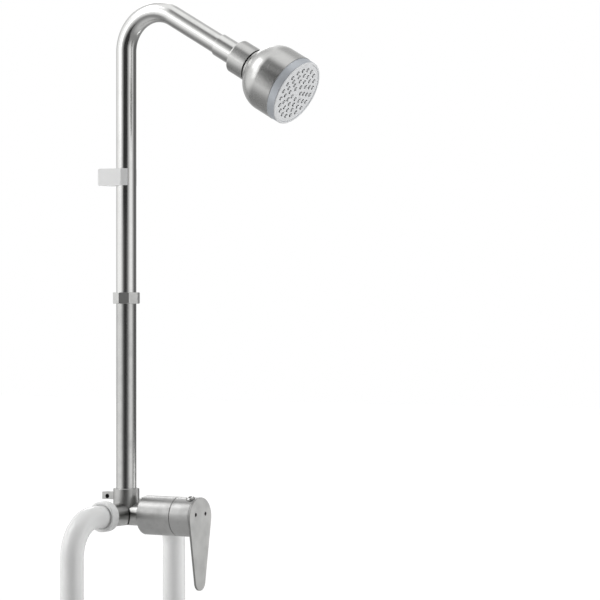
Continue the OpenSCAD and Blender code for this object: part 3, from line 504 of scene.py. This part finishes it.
def rounded_outline(corners):
    """Points of an outline of (radius, height, rounding) corners, each rounding as an arc."""
    steps = 6
    points = []
    for i, corner in enumerate(corners):
        here = Vector(corner[:2])
        if len(corner) < 3:
            points.append(here)
            continue
        rounding = corner[2]
        before = Vector(corners[i - 1][:2]) - here
        after = Vector(corners[(i + 1) % len(corners)][:2]) - here
        half = before.angle(after) / 2
        reach = rounding / math.tan(half)
        middle = here + (before.normalized() + after.normalized()).normalized() * (rounding / math.sin(half))
        a = here + before.normalized() * reach - middle
        b = here + after.normalized() * reach - middle
        sweep = math.atan2(a.x * b.y - a.y * b.x, a.dot(b))
        for k in range(steps + 1):
            t = sweep * k / steps
            points.append(middle + Vector((a.x * math.cos(t) - a.y * math.sin(t),
                                           a.x * math.sin(t) + a.y * math.cos(t))))
    return points


def turned(name, corners, place, sides=128):
    """Turned piece from an outline of (radius, height, rounding) corners in millimetres.
    An outline whose two ends lie on the axis is a solid, any other is a ring."""
    solid = corners[0][0] == 0 and corners[-1][0] == 0
    points = rounded_outline(corners)
    runs = [0.0]
    for p, q in zip(points, points[1:]):
        runs.append(runs[-1] + (q - p).length)
    work = bmesh.new()
    grain = work.verts.layers.float_vector.new("grain")
    outline_map = work.loops.layers.uv.new("outline")
    widest = max(p.x for p in points)
    rings = []
    for p, run in zip(points, runs):
        ring = []
        for k in range(1 if p.x < 1e-6 else sides):
            t = 2 * math.pi * k / sides
            v = work.verts.new(place @ Vector((p.x * math.cos(t), p.x * math.sin(t), p.y)) * MM)
            v[grain] = (widest * math.cos(t) * MM, widest * math.sin(t) * MM, run * MM)
            ring.append(v)
        rings.append(ring)
    for i in range(len(rings) - 1 if solid else len(rings)):
        for k in range(sides):
            quad = {}
            for row, u in ((i, k), (i, k + 1), (i + 1, k + 1), (i + 1, k)):
                ring = rings[row % len(rings)]
                quad.setdefault(ring[u % len(ring)], (u / sides, row / len(rings)))
            if len(quad) > 2:
                for corner in work.faces.new(list(quad)).loops:
                    corner[outline_map].uv = quad[corner.vert]
    return from_bmesh(name, work)


lever_steel = material("lever_steel", (0.47, 0.47, 0.465), (0.38, 0.38, 0.375), 0.34, metallic=1,
                       lines=(60, 60, 2600), depth=0.6, bump=0.00003, size=70, amount=0.6, spread=0.2,
                       attribute="grain", brushed=0.7)
housing = turned("cartridge_housing_cup", [
    (neck_r, housing_back), (barrel_r, housing_back, 1.2), (barrel_r, seam_back, 0.25), (nut_r, seam_back),
    (nut_r, nut_back), (cartridge_r, nut_back), (cartridge_r, cup_floor), (neck_r, cup_floor)], forwards)
finish_piece(housing, "fixture", "lever_steel", lever_steel, "cartridge_housing")

# Hub: the turning front half of the barrel, turned from the same bar. It is clamped on the
# cartridge's spindle and stands in line with the housing, in front of a hairline seam.
hub_spigot_r, hub_hollow_r = 18.75, 16.5
spigot_back, seam_front, web_back, plate_back = 64.8, 69.3, 82.2, 93.7
hub = turned("handle_hub_barrel", [
    (0, plate_back), (barrel_r, plate_back, 0.7), (barrel_r, seam_front, 0.25), (hub_spigot_r, seam_front),
    (hub_spigot_r, spigot_back), (hub_hollow_r, spigot_back), (hub_hollow_r, web_back), (0, web_back)],
    forwards)
finish_piece(hub, "handle", "lever_steel", lever_steel, "handle_hub")

# Clamp screw: a steel button head with a hexagonal hole, on top of the hub and a little to one
# side. Its shank reaches the spindle and holds the hub on it.
clamp_angle, clamp_place = 20, 87.9
clamp_head_top, clamp_key_r, clamp_key_depth = 23.45, 2.31, 1.8
hub_top = forwards @ Matrix.Translation((0, 0, clamp_place)) \
    @ Matrix.Rotation(math.radians(clamp_angle), 4, "Z") @ Matrix.Rotation(math.radians(-90), 4, "X")


def button_screw(name, place, head_r, back, top, key_r, key_depth, shank_r, shank_end):
    """Turned screw with a hexagonal hole sunk into its head."""
    obj = turned(name, [(0, top), (head_r * 0.66, top, 0.3), (head_r, top - head_r * 0.26, 0.4),
                        (head_r, back), (shank_r, back), (shank_r, shank_end), (0, shank_end)], place, 48)
    key = bmesh.new()
    bmesh.ops.create_cone(key, cap_ends=True, segments=6, radius1=key_r, radius2=key_r, depth=key_depth * 2,
                          matrix=place @ Matrix.Translation((0, 0, top)))
    return carved(obj, [key])


def in_clamp_key(face):
    """True on the walls and the floor of the clamp screw's hexagon, which take the painted shade."""
    at = hub_top.inverted() @ (face.center / MM)
    depth = clamp_head_top - at.z
    return math.hypot(at.x, at.y) < clamp_key_r - 0.01 and 0.03 < depth < clamp_key_depth + 0.15


clamp_steel = material("clamp_steel", (0.44, 0.44, 0.435), (0.36, 0.36, 0.355), 0.24, metallic=1,
                       lines=(2400, 2400, 2400), bump=0.000005, size=400)
clamp = button_screw("clamp_screw_head", hub_top, head_r=5, back=20.65, top=clamp_head_top,
                     key_r=clamp_key_r, key_depth=clamp_key_depth, shank_r=2.5, shank_end=4.55)
finish_piece(clamp, "handle", "screw_steel", clamp_steel, "clamp_screw")
# The hexagon's walls and floor get the nearly black steel as painted shade.
second_finish(clamp, seam_steel, in_clamp_key)


# Lever: a drop-shaped plate cut from steel sheet and brushed along its length, with a duller cut
# edge. It closes the hub's front, and its tip hangs down when the water is mixed.
plate_front = 96.2
lever_top_r, lever_tip_r, lever_reach = 21.5, 9.5, 69
plate_screw_x, plate_screw_z, plate_hole_r = 9.5, 3.5, 1.95


def arc_points(middle, radius, start, end, steps):
    """Points of an arc from one angle to another in degrees."""
    return [(middle[0] + radius * math.cos(math.radians(start + (end - start) * k / steps)),
             middle[1] + radius * math.sin(math.radians(start + (end - start) * k / steps)))
            for k in range(steps + 1)]


def flat_plate(name, loops, back, front, bevel, place):
    """Plate between two heights from closed loops of points, the first its outline."""
    data = bpy.data.curves.new(name, "CURVE")
    data.dimensions = "2D"
    data.fill_mode = "BOTH"
    data.extrude = (front - back) / 2 - bevel
    data.bevel_depth = bevel
    data.bevel_resolution = 3
    data.offset = -bevel
    for loop in loops:
        spline = data.splines.new("POLY")
        spline.points.add(len(loop) - 1)
        for point, (x, y) in zip(spline.points, loop):
            point.co = (x, y, 0, 1)
        spline.use_cyclic_u = True
    holder = bpy.data.objects.new(name + "_curve", data)
    bpy.context.scene.collection.objects.link(holder)
    mesh = bpy.data.meshes.new_from_object(holder.evaluated_get(bpy.context.evaluated_depsgraph_get()))
    bpy.data.objects.remove(holder)
    work = bmesh.new()
    work.from_mesh(mesh)
    bmesh.ops.remove_doubles(work, verts=work.verts, dist=0.0005)
    for v in work.verts:
        v.co = place @ Vector((v.co.x, v.co.y, v.co.z + (back + front) / 2)) * MM
    return from_bmesh(name, work)


taper = math.degrees(math.asin((lever_top_r - lever_tip_r) / lever_reach))
drop = arc_points((0, 0), lever_top_r, -taper, 180 + taper, 72)[:-1]
drop += arc_points((0, -lever_reach), lever_tip_r, 180 + taper, 360 - taper, 40)
plate_holes = [arc_points((x, plate_screw_z), plate_hole_r, 0, -360, 32)[:-1]
               for x in (-plate_screw_x, plate_screw_x)]
plate_steel = material("plate_steel", (0.49, 0.49, 0.48), (0.42, 0.42, 0.415), 0.32, metallic=1,
                       lines=(60, 60, 5200), bump=0.00001, amount=0.6)
edge_steel = material("edge_steel", (0.30, 0.30, 0.295), (0.24, 0.24, 0.235), 0.42, metallic=1,
                      lines=(300, 300, 2600), depth=0.6, size=120, amount=0.6)
lever = flat_plate("lever_drop", [drop] + plate_holes, plate_back, plate_front, 0.3, forwards)
finish_piece(lever, "handle", "lever_steel", plate_steel, "lever_plate")
facing = (forwards.to_3x3() @ Vector((0, 0, 1))).normalized()
second_finish(lever, edge_steel, lambda face: abs(face.normal.dot(facing)) < 0.8)

# Plate screws: two small dark steel screws, sunk in the lever plate's holes. They hold the plate
# on the hub's front. The CAD has both in one node, which the second of them stands for.
screw_steel = material("screw_steel", (0.20, 0.20, 0.20), (0.10, 0.10, 0.10), 0.34, metallic=1,
                       lines=(2400, 2400, 2400), bump=0.00001, size=400, amount=0.7)
for side, label in ((-1, "hot"), (1, "cold")):
    screw_place = forwards @ Matrix.Translation((side * plate_screw_x, plate_screw_z, 0))
    plate_screw = button_screw("plate_screw_" + label, screw_place, head_r=1.9, back=94.6, top=95.4,
                               key_r=0.9, key_depth=0.6, shank_r=1.3, shank_end=87.7)
    stands_for = ["plate_screws"] if label == "cold" else []
    finish_piece(plate_screw, "handle", "screw_steel", screw_steel, *stands_for)


# Supply pipes: a hot and a cold pipe of glossy white plastic, bent down at a fixed radius. Each has
# a fine step near its nut, and a flange on its end that is sealed against the inlet.
pipe_r, pipe_bore_r, pipe_bend_r, pipe_bend_steps, pipe_drop = 12.5, 8.3, 40, 32, 150
flange_r, flange_back, flange_front = 14.4, 44.5, 46.7


def bent_tube(name, stations, r_out, r_in, side_axis):
    """Tube along stations of (point, direction) in millimetres from the centre, with rounded ends.
    A third value of a station changes its outer radius there."""
    sides = 96
    rounding = 0.4
    path = []
    run = 0.0
    for i, station in enumerate(stations):
        point, direction = Vector(station[0]), Vector(station[1]).normalized()
        if i:
            run += (point - Vector(stations[i - 1][0])).length
        path.append((point, direction, run, station[2] if len(station) > 2 else 0))
    start, start_way = path[0][:2]
    end, end_way, end_run = path[-1][:3]
    quarter = [math.pi / 8 * k for k in range(5)]
    rings = [(start + start_way * rounding * (1 - math.cos(t)), start_way, 0,
              r_out - rounding + rounding * math.sin(t)) for t in quarter]
    rings += [(p, way, s, r_out + more) for p, way, s, more in path[1:-1]]
    rings += [(end - end_way * rounding * (1 - math.sin(t)), end_way, end_run,
               r_out - rounding + rounding * math.cos(t)) for t in quarter]
    rings.append((end, end_way, end_run, r_in))
    rings += [(p, way, s, r_in) for p, way, s, more in reversed(path[1:-1])]
    rings.append((start, start_way, 0, r_in))
    work = bmesh.new()
    grain = work.verts.layers.float_vector.new("grain")
    across = Vector(side_axis)
    grid = []
    for point, way, run, r in rings:
        up = way.cross(across)
        ring = []
        for k in range(sides):
            t = 2 * math.pi * k / sides
            v = work.verts.new(centre @ (point + (across * math.cos(t) + up * math.sin(t)) * r) * MM)
            v[grain] = (r_out * math.cos(t) * MM, r_out * math.sin(t) * MM, run * MM)
            ring.append(v)
        grid.append(ring)
    for a, b in zip(grid, grid[1:] + grid[:1]):
        for k in range(sides):
            work.faces.new((a[k], a[(k + 1) % sides], b[(k + 1) % sides], b[k]))
    return from_bmesh(name, work)


def pipe_stations(side, reach, step):
    """Stations of a supply pipe: out of its flange, over the fine step, round the bend and down."""
    elbow = reach - pipe_bend_r
    level_run = ((flange_back, 0), (flange_back + 1.5, 0), (step - 0.7, 0), (step - 0.35, -0.14),
                 (step + 0.35, -0.14), (step + 0.7, 0), (elbow - 0.5, 0))
    found = [((side * x, 0, 0), (side, 0, 0), more) for x, more in level_run]
    for k in range(pipe_bend_steps + 1):
        t = math.radians(90 * k / pipe_bend_steps)
        found.append(((side * (elbow + pipe_bend_r * math.sin(t)), 0, -pipe_bend_r * (1 - math.cos(t))),
                      (side * math.cos(t), 0, -math.sin(t))))
    for z in (-75, -110, -pipe_drop + 0.5, -pipe_drop):
        found.append(((side * reach, 0, z), (0, 0, -1)))
    return found


white_plastic = material("white_plastic", (0.87, 0.873, 0.868), (0.81, 0.813, 0.808), 0.18,
                         lines=(420, 420, 420), bump=0.00004, size=40, dulling=0.08, spread=0.05, coat=0.25)
for side, label, reach, step in ((-1, "hot", 101.5, 57), (1, "cold", 94.5, 52)):
    pipe = bent_tube(label + "_pipe", pipe_stations(side, reach, step), pipe_r, pipe_bore_r, (0, 1, 0))
    finish_piece(pipe, "fixture", "white_plastic", white_plastic, label + "_supply_pipe")
    outwards = centre @ Matrix.Rotation(math.radians(90 * side), 4, "Y")
    flange = turned(label + "_pipe_flange", [
        (pipe_r - 0.1, flange_back), (flange_r, flange_back), (flange_r, flange_front),
        (pipe_r - 0.1, flange_front)], outwards)
    finish_piece(flange, "fixture", "white_plastic", white_plastic)

# Union nuts: smooth round mouldings of the same plastic, with a flared mouth around the pipe.
# Each is screwed on its inlet and draws the pipe's flange against it.
union_r, union_bore_r, union_back, union_front = 16.5, 14.6, 37, 49
mouth_r, throat_r, throat_front = 14.5, 13.4, 48
for side, label in ((-1, "hot"), (1, "cold")):
    outwards = centre @ Matrix.Rotation(math.radians(90 * side), 4, "Y")
    union = turned(label + "_union_nut_ring", [
        (union_bore_r, union_back), (union_r, union_back, 1.0), (union_r, union_front, 1.1),
        (mouth_r, union_front, 0.4), (throat_r, throat_front, 0.3), (throat_r, flange_front),
        (union_bore_r, flange_front)], outwards)
    finish_piece(union, "fixture", "white_plastic", white_plastic, label + "_union_nut")

# Riser, lower half: straight drawn steel tube, brushed along its length and duller than the upper
# half. It is pushed into the valve body's socket and held there by a set screw.
tube_r, tube_bore_r = 11, 9.5
lower_start, lower_end = 14, 229.6
lower_steel = material("lower_steel", (0.56, 0.56, 0.55), (0.46, 0.46, 0.455), 0.2, metallic=1,
                       lines=(2400, 2400, 50), depth=0.6, bump=0.000014, size=70, amount=0.6, dulling=0.08,
                       spread=0.2, attribute="grain")
lower_tube = turned("lower_riser", [(tube_bore_r, lower_start), (tube_r, lower_start, 0.3),
                                    (tube_r, lower_end, 0.3), (tube_bore_r, lower_end)], centre)
finish_piece(lower_tube, "fixture", "tube_steel", lower_steel, "lower_riser_tube")

# Coupling nut: eight-sided, sawn from steel bar, with broken edges. It draws the riser's two
# halves together against a washer.
nut_steel = material("nut_steel", (0.64, 0.64, 0.63), (0.54, 0.54, 0.535), 0.36, metallic=1,
                     lines=(2600, 2600, 90), depth=0.6, size=120, amount=0.6, dulling=0.08)
coupling = softened("coupling_nut_octagon", "coupling_nut", 0.25)
finish_piece(coupling, "fixture", "tube_steel", nut_steel, "coupling_nut")

# Riser, upper half: the same tube, polished brighter and bent over by 120 degrees into the arm.
# The coupling nut holds it at its foot, and the clip higher up.
upper_start = 237.4
bend_z, bend_r, bend_turn, bend_steps, arm_end = 503.4, 41, 120, 60, 88
upper_steel = material("upper_steel", (0.74, 0.74, 0.73), (0.66, 0.66, 0.65), 0.17, metallic=1,
                       lines=(3000, 3000, 60), bump=0.000008, size=50, dulling=0.08, attribute="grain")
stations = [((0, 0, z), (0, 0, 1)) for z in (upper_start, upper_start + 1.1, 300, 400)]
for k in range(bend_steps + 1):
    t = math.radians(bend_turn * k / bend_steps)
    stations.append(((0, -bend_r * (1 - math.cos(t)), bend_z + bend_r * math.sin(t)),
                     (0, -math.sin(t), math.cos(t))))
bend_end, arm_way = Vector(stations[-1][0]), Vector(stations[-1][1])
stations += [(bend_end + arm_way * s, arm_way) for s in (30, 60, arm_end - 1, arm_end)]
upper_tube = bent_tube("upper_riser", stations, tube_r, tube_bore_r, (1, 0, 0))
finish_piece(upper_tube, "fixture", "tube_steel", upper_steel, "upper_riser_tube")

# Riser clip: a white plastic block that is screwed to the wall. The riser snaps in between its
# two sprung lips.
clip = softened("riser_clip_block", "riser_clip", 0.5)
finish_piece(clip, "fixture", "white_plastic", white_plastic, "riser_clip")

# Arm sleeve: a short ring turned from steel and brazed over the arm's end. The collar screws on
# the spigot in its front.
sleeve_r, sleeve_bore_r, sleeve_back, sleeve_front = 12.5, 11.05, 68, 93.5
spigot_r, spigot_bore_r, spigot_front = 10.4, 7, 104
arm = centre @ Matrix.Translation(bend_end) @ Matrix.Rotation(math.radians(bend_turn), 4, "X")
sleeve = turned("arm_sleeve_ring", [
    (sleeve_bore_r, sleeve_back), (sleeve_r, sleeve_back, 0.3), (sleeve_r, sleeve_front, 0.15),
    (spigot_r, sleeve_front), (spigot_r, spigot_front, 0.4), (spigot_bore_r, spigot_front),
    (spigot_bore_r, arm_end), (sleeve_bore_r, arm_end)], arm)
finish_piece(sleeve, "fixture", "tube_steel", upper_steel, "arm_sleeve")

# Swivel collar: turned from steel and brushed around its axis, with the ball of the head's joint
# on a neck in its hollow front. Heights count from the ball's centre towards the nozzles.
ball_place = 135.6
collar_r, collar_rim_r, collar_bore_r = 18.5, 17.1, 10.5
collar_back, collar_front, hollow_back, bore_front = -42.1, -20, -22.8, -29.1
ball_r, ball_neck_r, ball_bore_r = 11, 7, 4.5
ball = arm @ Matrix.Translation((0, 0, ball_place))
bell_steel = material("bell_steel", (0.57, 0.57, 0.56), (0.49, 0.49, 0.485), 0.25, metallic=1,
                      lines=(50, 50, 3600), bump=0.000012, size=45, dulling=0.08, attribute="grain",
                      brushed=0.3)
neck_angle = math.degrees(math.asin(ball_neck_r / ball_r))
bore_angle = math.degrees(math.asin(ball_bore_r / ball_r))
ball_arc = [(ball_r * math.sin(math.radians(a)), -ball_r * math.cos(math.radians(a)))
            for a in (neck_angle + (180 - bore_angle - neck_angle) * k / 36 for k in range(37))]
collar_outline = [(collar_bore_r, collar_back), (collar_r, collar_back, 1.7), (collar_r, collar_front, 0.5),
                  (collar_rim_r, collar_front, 0.2), (collar_rim_r, hollow_back, 0.4),
                  (ball_neck_r, hollow_back, 0.8)]
collar_outline += ball_arc + [(ball_bore_r, bore_front), (collar_bore_r, bore_front)]
collar = turned("swivel_collar_ball", collar_outline, ball)
finish_piece(collar, "fixture", "bell_steel", bell_steel, "swivel_collar")

# Bell: a dome of satin steel, spun from sheet, with a straight skirt and a small lip around the
# ball. Its socket holds it on the ball.
bell_r, bell_wall, dome_depth, dome_front, skirt_front = 36.7, 1.6, 31.8, 11.205, 33.2
lip_r, lip_back, outside_end, inside_end, dome_steps = 17.5, -18.4, 59.73, 60.09, 48
dome_outside = [(bell_r * math.cos(t), dome_front - dome_depth * math.sin(t))
                for t in (math.radians(outside_end * (1 - k / dome_steps)) for k in range(dome_steps + 1))]
dome_inside = [((bell_r - bell_wall) * math.cos(t), dome_front - (dome_depth - bell_wall) * math.sin(t))
               for t in (math.radians(inside_end * k / dome_steps) for k in range(dome_steps + 1))]
bell_outline = [(lip_r, lip_back), (lip_r + 1, lip_back, 0.3)] + dome_outside
bell_outline += [(bell_r, skirt_front, 0.35), (bell_r - bell_wall, skirt_front)] + dome_inside
bell = turned("head_bell", bell_outline, ball, 160)
finish_piece(bell, "head", "bell_steel", bell_steel, "bell")

# Head ring: a moulding with a silvery satin side and a pale front rim. Its spigot snaps into the
# bell, and it holds the spray plate.
ring_r, ring_bore_r, ring_spigot_r = 36.3, 33.7, 35
ring_spigot_back, ring_front = 28.4, 43.2
ring_plastic = material("ring_plastic", (0.57, 0.60, 0.64), (0.52, 0.55, 0.59), 0.34, metallic=0.5,
                        lines=(50, 50, 2400), bump=0.00001, size=50, dulling=0.08, attribute="grain")
face_plastic = material("face_plastic", (0.84, 0.85, 0.86), (0.78, 0.79, 0.80), 0.30, lines=(700, 700, 700))
head_ring = turned("head_ring_moulding", [
    (ring_bore_r, ring_spigot_back), (ring_spigot_r, ring_spigot_back), (ring_spigot_r, skirt_front),
    (ring_r, skirt_front, 0.2), (ring_r, ring_front, 1.4), (ring_bore_r, ring_front, 0.4)], ball, 160)
finish_piece(head_ring, "head", "ring_plastic", ring_plastic, "head_ring")
face_way = (ball.to_3x3() @ Vector((0, 0, 1))).normalized()
second_finish(head_ring, face_plastic, lambda face: face.normal.dot(face_way) > 0.4)

# Spray plate: a pale satin plastic disc inside the ring, with a round hole for every nozzle.
# It keeps its CAD shape with softened edges, and the walls of its holes are painted nearly black
# as painted shade.
holes_reach = 32.5
# Nearly black plastic: painted shade on the walls of the nozzle holes.
hole_wall = material("hole_wall", (0.012, 0.012, 0.013), (0.02, 0.02, 0.021), 0.6)
spray_plate = softened("spray_face", "spray_plate", 0.15, 1)
finish_piece(spray_plate, "head", "face_plastic", face_plastic, "spray_plate")


def in_nozzle_hole(face):
    """True on the walls of the holes, which lie further in than the plate's own edge and take the painted
    shade.
    """
    away = face.center - ball.translation * MM
    away -= face_way * away.dot(face_way)
    return abs(face.normal.dot(face_way)) < 0.5 and away.length < holes_reach * MM


# The holes' walls get the nearly black plastic as painted shade.
second_finish(spray_plate, hole_wall, in_nozzle_hole)


# Nozzles: soft white rubber cones with a fine bore, moulded in four rings. They are part of the
# mat below and stand out of the plate's holes.
nozzle_bore_r, nozzle_tip_r, nozzle_foot_r = 0.5, 1.3, 1.5
nozzle_back, nozzle_bore_back, nozzle_front = 38.9, 42.5, 43.7
ring_count, ring_step, first_ring_r, ring_pitch = 4, 5, 7.4, 6.5
nozzle_rubber = material("nozzle_rubber", (0.88, 0.89, 0.90), (0.80, 0.81, 0.82), 0.4, size=200)
nozzle = turned("nozzle_one", [
    (0, nozzle_bore_back), (nozzle_bore_r, nozzle_bore_back), (nozzle_bore_r, nozzle_front, 0.12),
    (nozzle_tip_r, nozzle_front, 0.35), (nozzle_foot_r, nozzle_back), (0, nozzle_back)],
    Matrix.Identity(4), 24)


def nozzle_rings(rings, step, first, pitch):
    """Geometry Nodes group that places the source on rings, each with more places than the last."""
    group = bpy.data.node_groups.new("nozzle_rings", "GeometryNodeTree")
    group.interface.new_socket("Geometry", in_out="OUTPUT", socket_type="NodeSocketGeometry")
    for label, kind, value in (("Source", "Object", None), ("Step", "Int", step),
                               ("First Radius", "Float", first), ("Pitch", "Float", pitch),
                               ("Material", "Material", None)):
        socket = group.interface.new_socket(label, in_out="INPUT", socket_type="NodeSocket" + kind)
        if value is not None:
            socket.default_value = value
    wire = group.links.new
    enter = node(group, "NodeGroupInput")
    leave = node(group, "NodeGroupOutput")
    join = node(group, "GeometryNodeJoinGeometry")
    info = node(group, "GeometryNodeObjectInfo")
    wire(enter.outputs["Source"], info.inputs["Object"])
    for n in range(rings):
        count = node(group, "ShaderNodeMath", {1: n + 1}, operation="MULTIPLY")
        radius = node(group, "ShaderNodeMath", {1: n}, operation="MULTIPLY_ADD")
        circle = node(group, "GeometryNodeMeshCircle")
        spread = node(group, "GeometryNodeInstanceOnPoints")
        wire(enter.outputs["Step"], count.inputs[0])
        wire(enter.outputs["Pitch"], radius.inputs[0])
        wire(enter.outputs["First Radius"], radius.inputs[2])
        wire(count.outputs["Value"], circle.inputs["Vertices"])
        wire(radius.outputs["Value"], circle.inputs["Radius"])
        wire(circle.outputs["Mesh"], spread.inputs["Points"])
        wire(info.outputs["Geometry"], spread.inputs["Instance"])
        wire(spread.outputs["Instances"], join.inputs["Geometry"])
    real = node(group, "GeometryNodeRealizeInstances")
    paint = node(group, "GeometryNodeSetMaterial")
    wire(join.outputs["Geometry"], real.inputs["Geometry"])
    wire(real.outputs["Geometry"], paint.inputs["Geometry"])
    wire(enter.outputs["Material"], paint.inputs["Material"])
    wire(paint.outputs["Geometry"], leave.inputs["Geometry"])
    return group


nozzles = bpy.data.objects.new("nozzles", bpy.data.meshes.new("nozzles"))
bpy.context.scene.collection.objects.link(nozzles)
rings_modifier = nozzles.modifiers.new("rings", "NODES")
rings_modifier.node_group = nozzle_rings(ring_count, ring_step, first_ring_r * MM, ring_pitch * MM)
for item in rings_modifier.node_group.interface.items_tree:
    if item.in_out == "INPUT" and item.name in ("Source", "Material"):
        rings_modifier[item.identifier] = nozzle if item.name == "Source" else nozzle_rubber
applied(nozzles)
bpy.data.objects.remove(nozzle)
for v in nozzles.data.vertices:
    v.co = ball @ (v.co / MM) * MM
finish_piece(nozzles, "head", "nozzle_rubber", nozzle_rubber)

# Nozzle mat: the soft rubber disc behind the spray plate that carries the nozzles. Through the
# holes it is seen deep down, and its colour is painted nearly black as painted shade.
mat_r, mat_back, mat_front = 33.6, 37.6, 40.1
# Nearly black rubber: painted shade of the mat deep in the holes.
mat_rubber = material("mat_rubber", (0.02, 0.021, 0.022), (0.035, 0.036, 0.037), 0.6)
mat = turned("nozzle_mat_disc", [(0, mat_front), (mat_r, mat_front, 0.2), (mat_r, mat_back), (0, mat_back)],
             ball)
finish_piece(mat, "head", "nozzle_rubber", mat_rubber, "nozzle_mat")

# Inner and small pieces: seals, washers, cartridge, insert, rings, restrictor and set screw keep
# their CAD shape, with a material of their own for each finish. The ball's socket and the ring
# that holds the ball are darkened brass.
brass = material("brass", (0.62, 0.44, 0.20), (0.48, 0.33, 0.14), 0.34, metallic=1,
                 lines=(1500, 1500, 1500), bump=0.00001)
dark_brass = material("dark_brass", (0.10, 0.085, 0.07), (0.07, 0.06, 0.05), 0.5, metallic=1)
black_rubber = material("black_rubber", (0.03, 0.03, 0.03), (0.06, 0.06, 0.06), 0.6)
dark_plastic = material("dark_plastic", (0.045, 0.045, 0.05), (0.07, 0.07, 0.075), 0.5)
pale_plastic = material("pale_plastic", (0.66, 0.66, 0.62), (0.58, 0.58, 0.54), 0.45)
blue_plastic = material("blue_plastic", (0.10, 0.20, 0.36), (0.08, 0.16, 0.30), 0.4)
ceramic = material("ceramic", (0.82, 0.80, 0.74), (0.76, 0.74, 0.68), 0.18, bump=0.000005)
by_slot = {"black_rubber": black_rubber, "glide_plastic": dark_plastic, "chamber_plastic": dark_plastic,
           "cartridge_plastic": pale_plastic, "lining_plastic": pale_plastic, "ceramic": ceramic,
           "brass": brass, "restrictor_plastic": blue_plastic, "screw_steel": screw_steel,
           "valve_steel": valve_steel}
slots = {part["node"]: part["material_slot"] for part in frame["record"]["subparts"]}
for name, cad in frame["nodes"].items():
    paint = dark_brass if name in ("ball_socket", "ball_retainer") else by_slot.get(slots.get(name))
    if paint:
        for place in cad.material_slots:
            place.material = paint
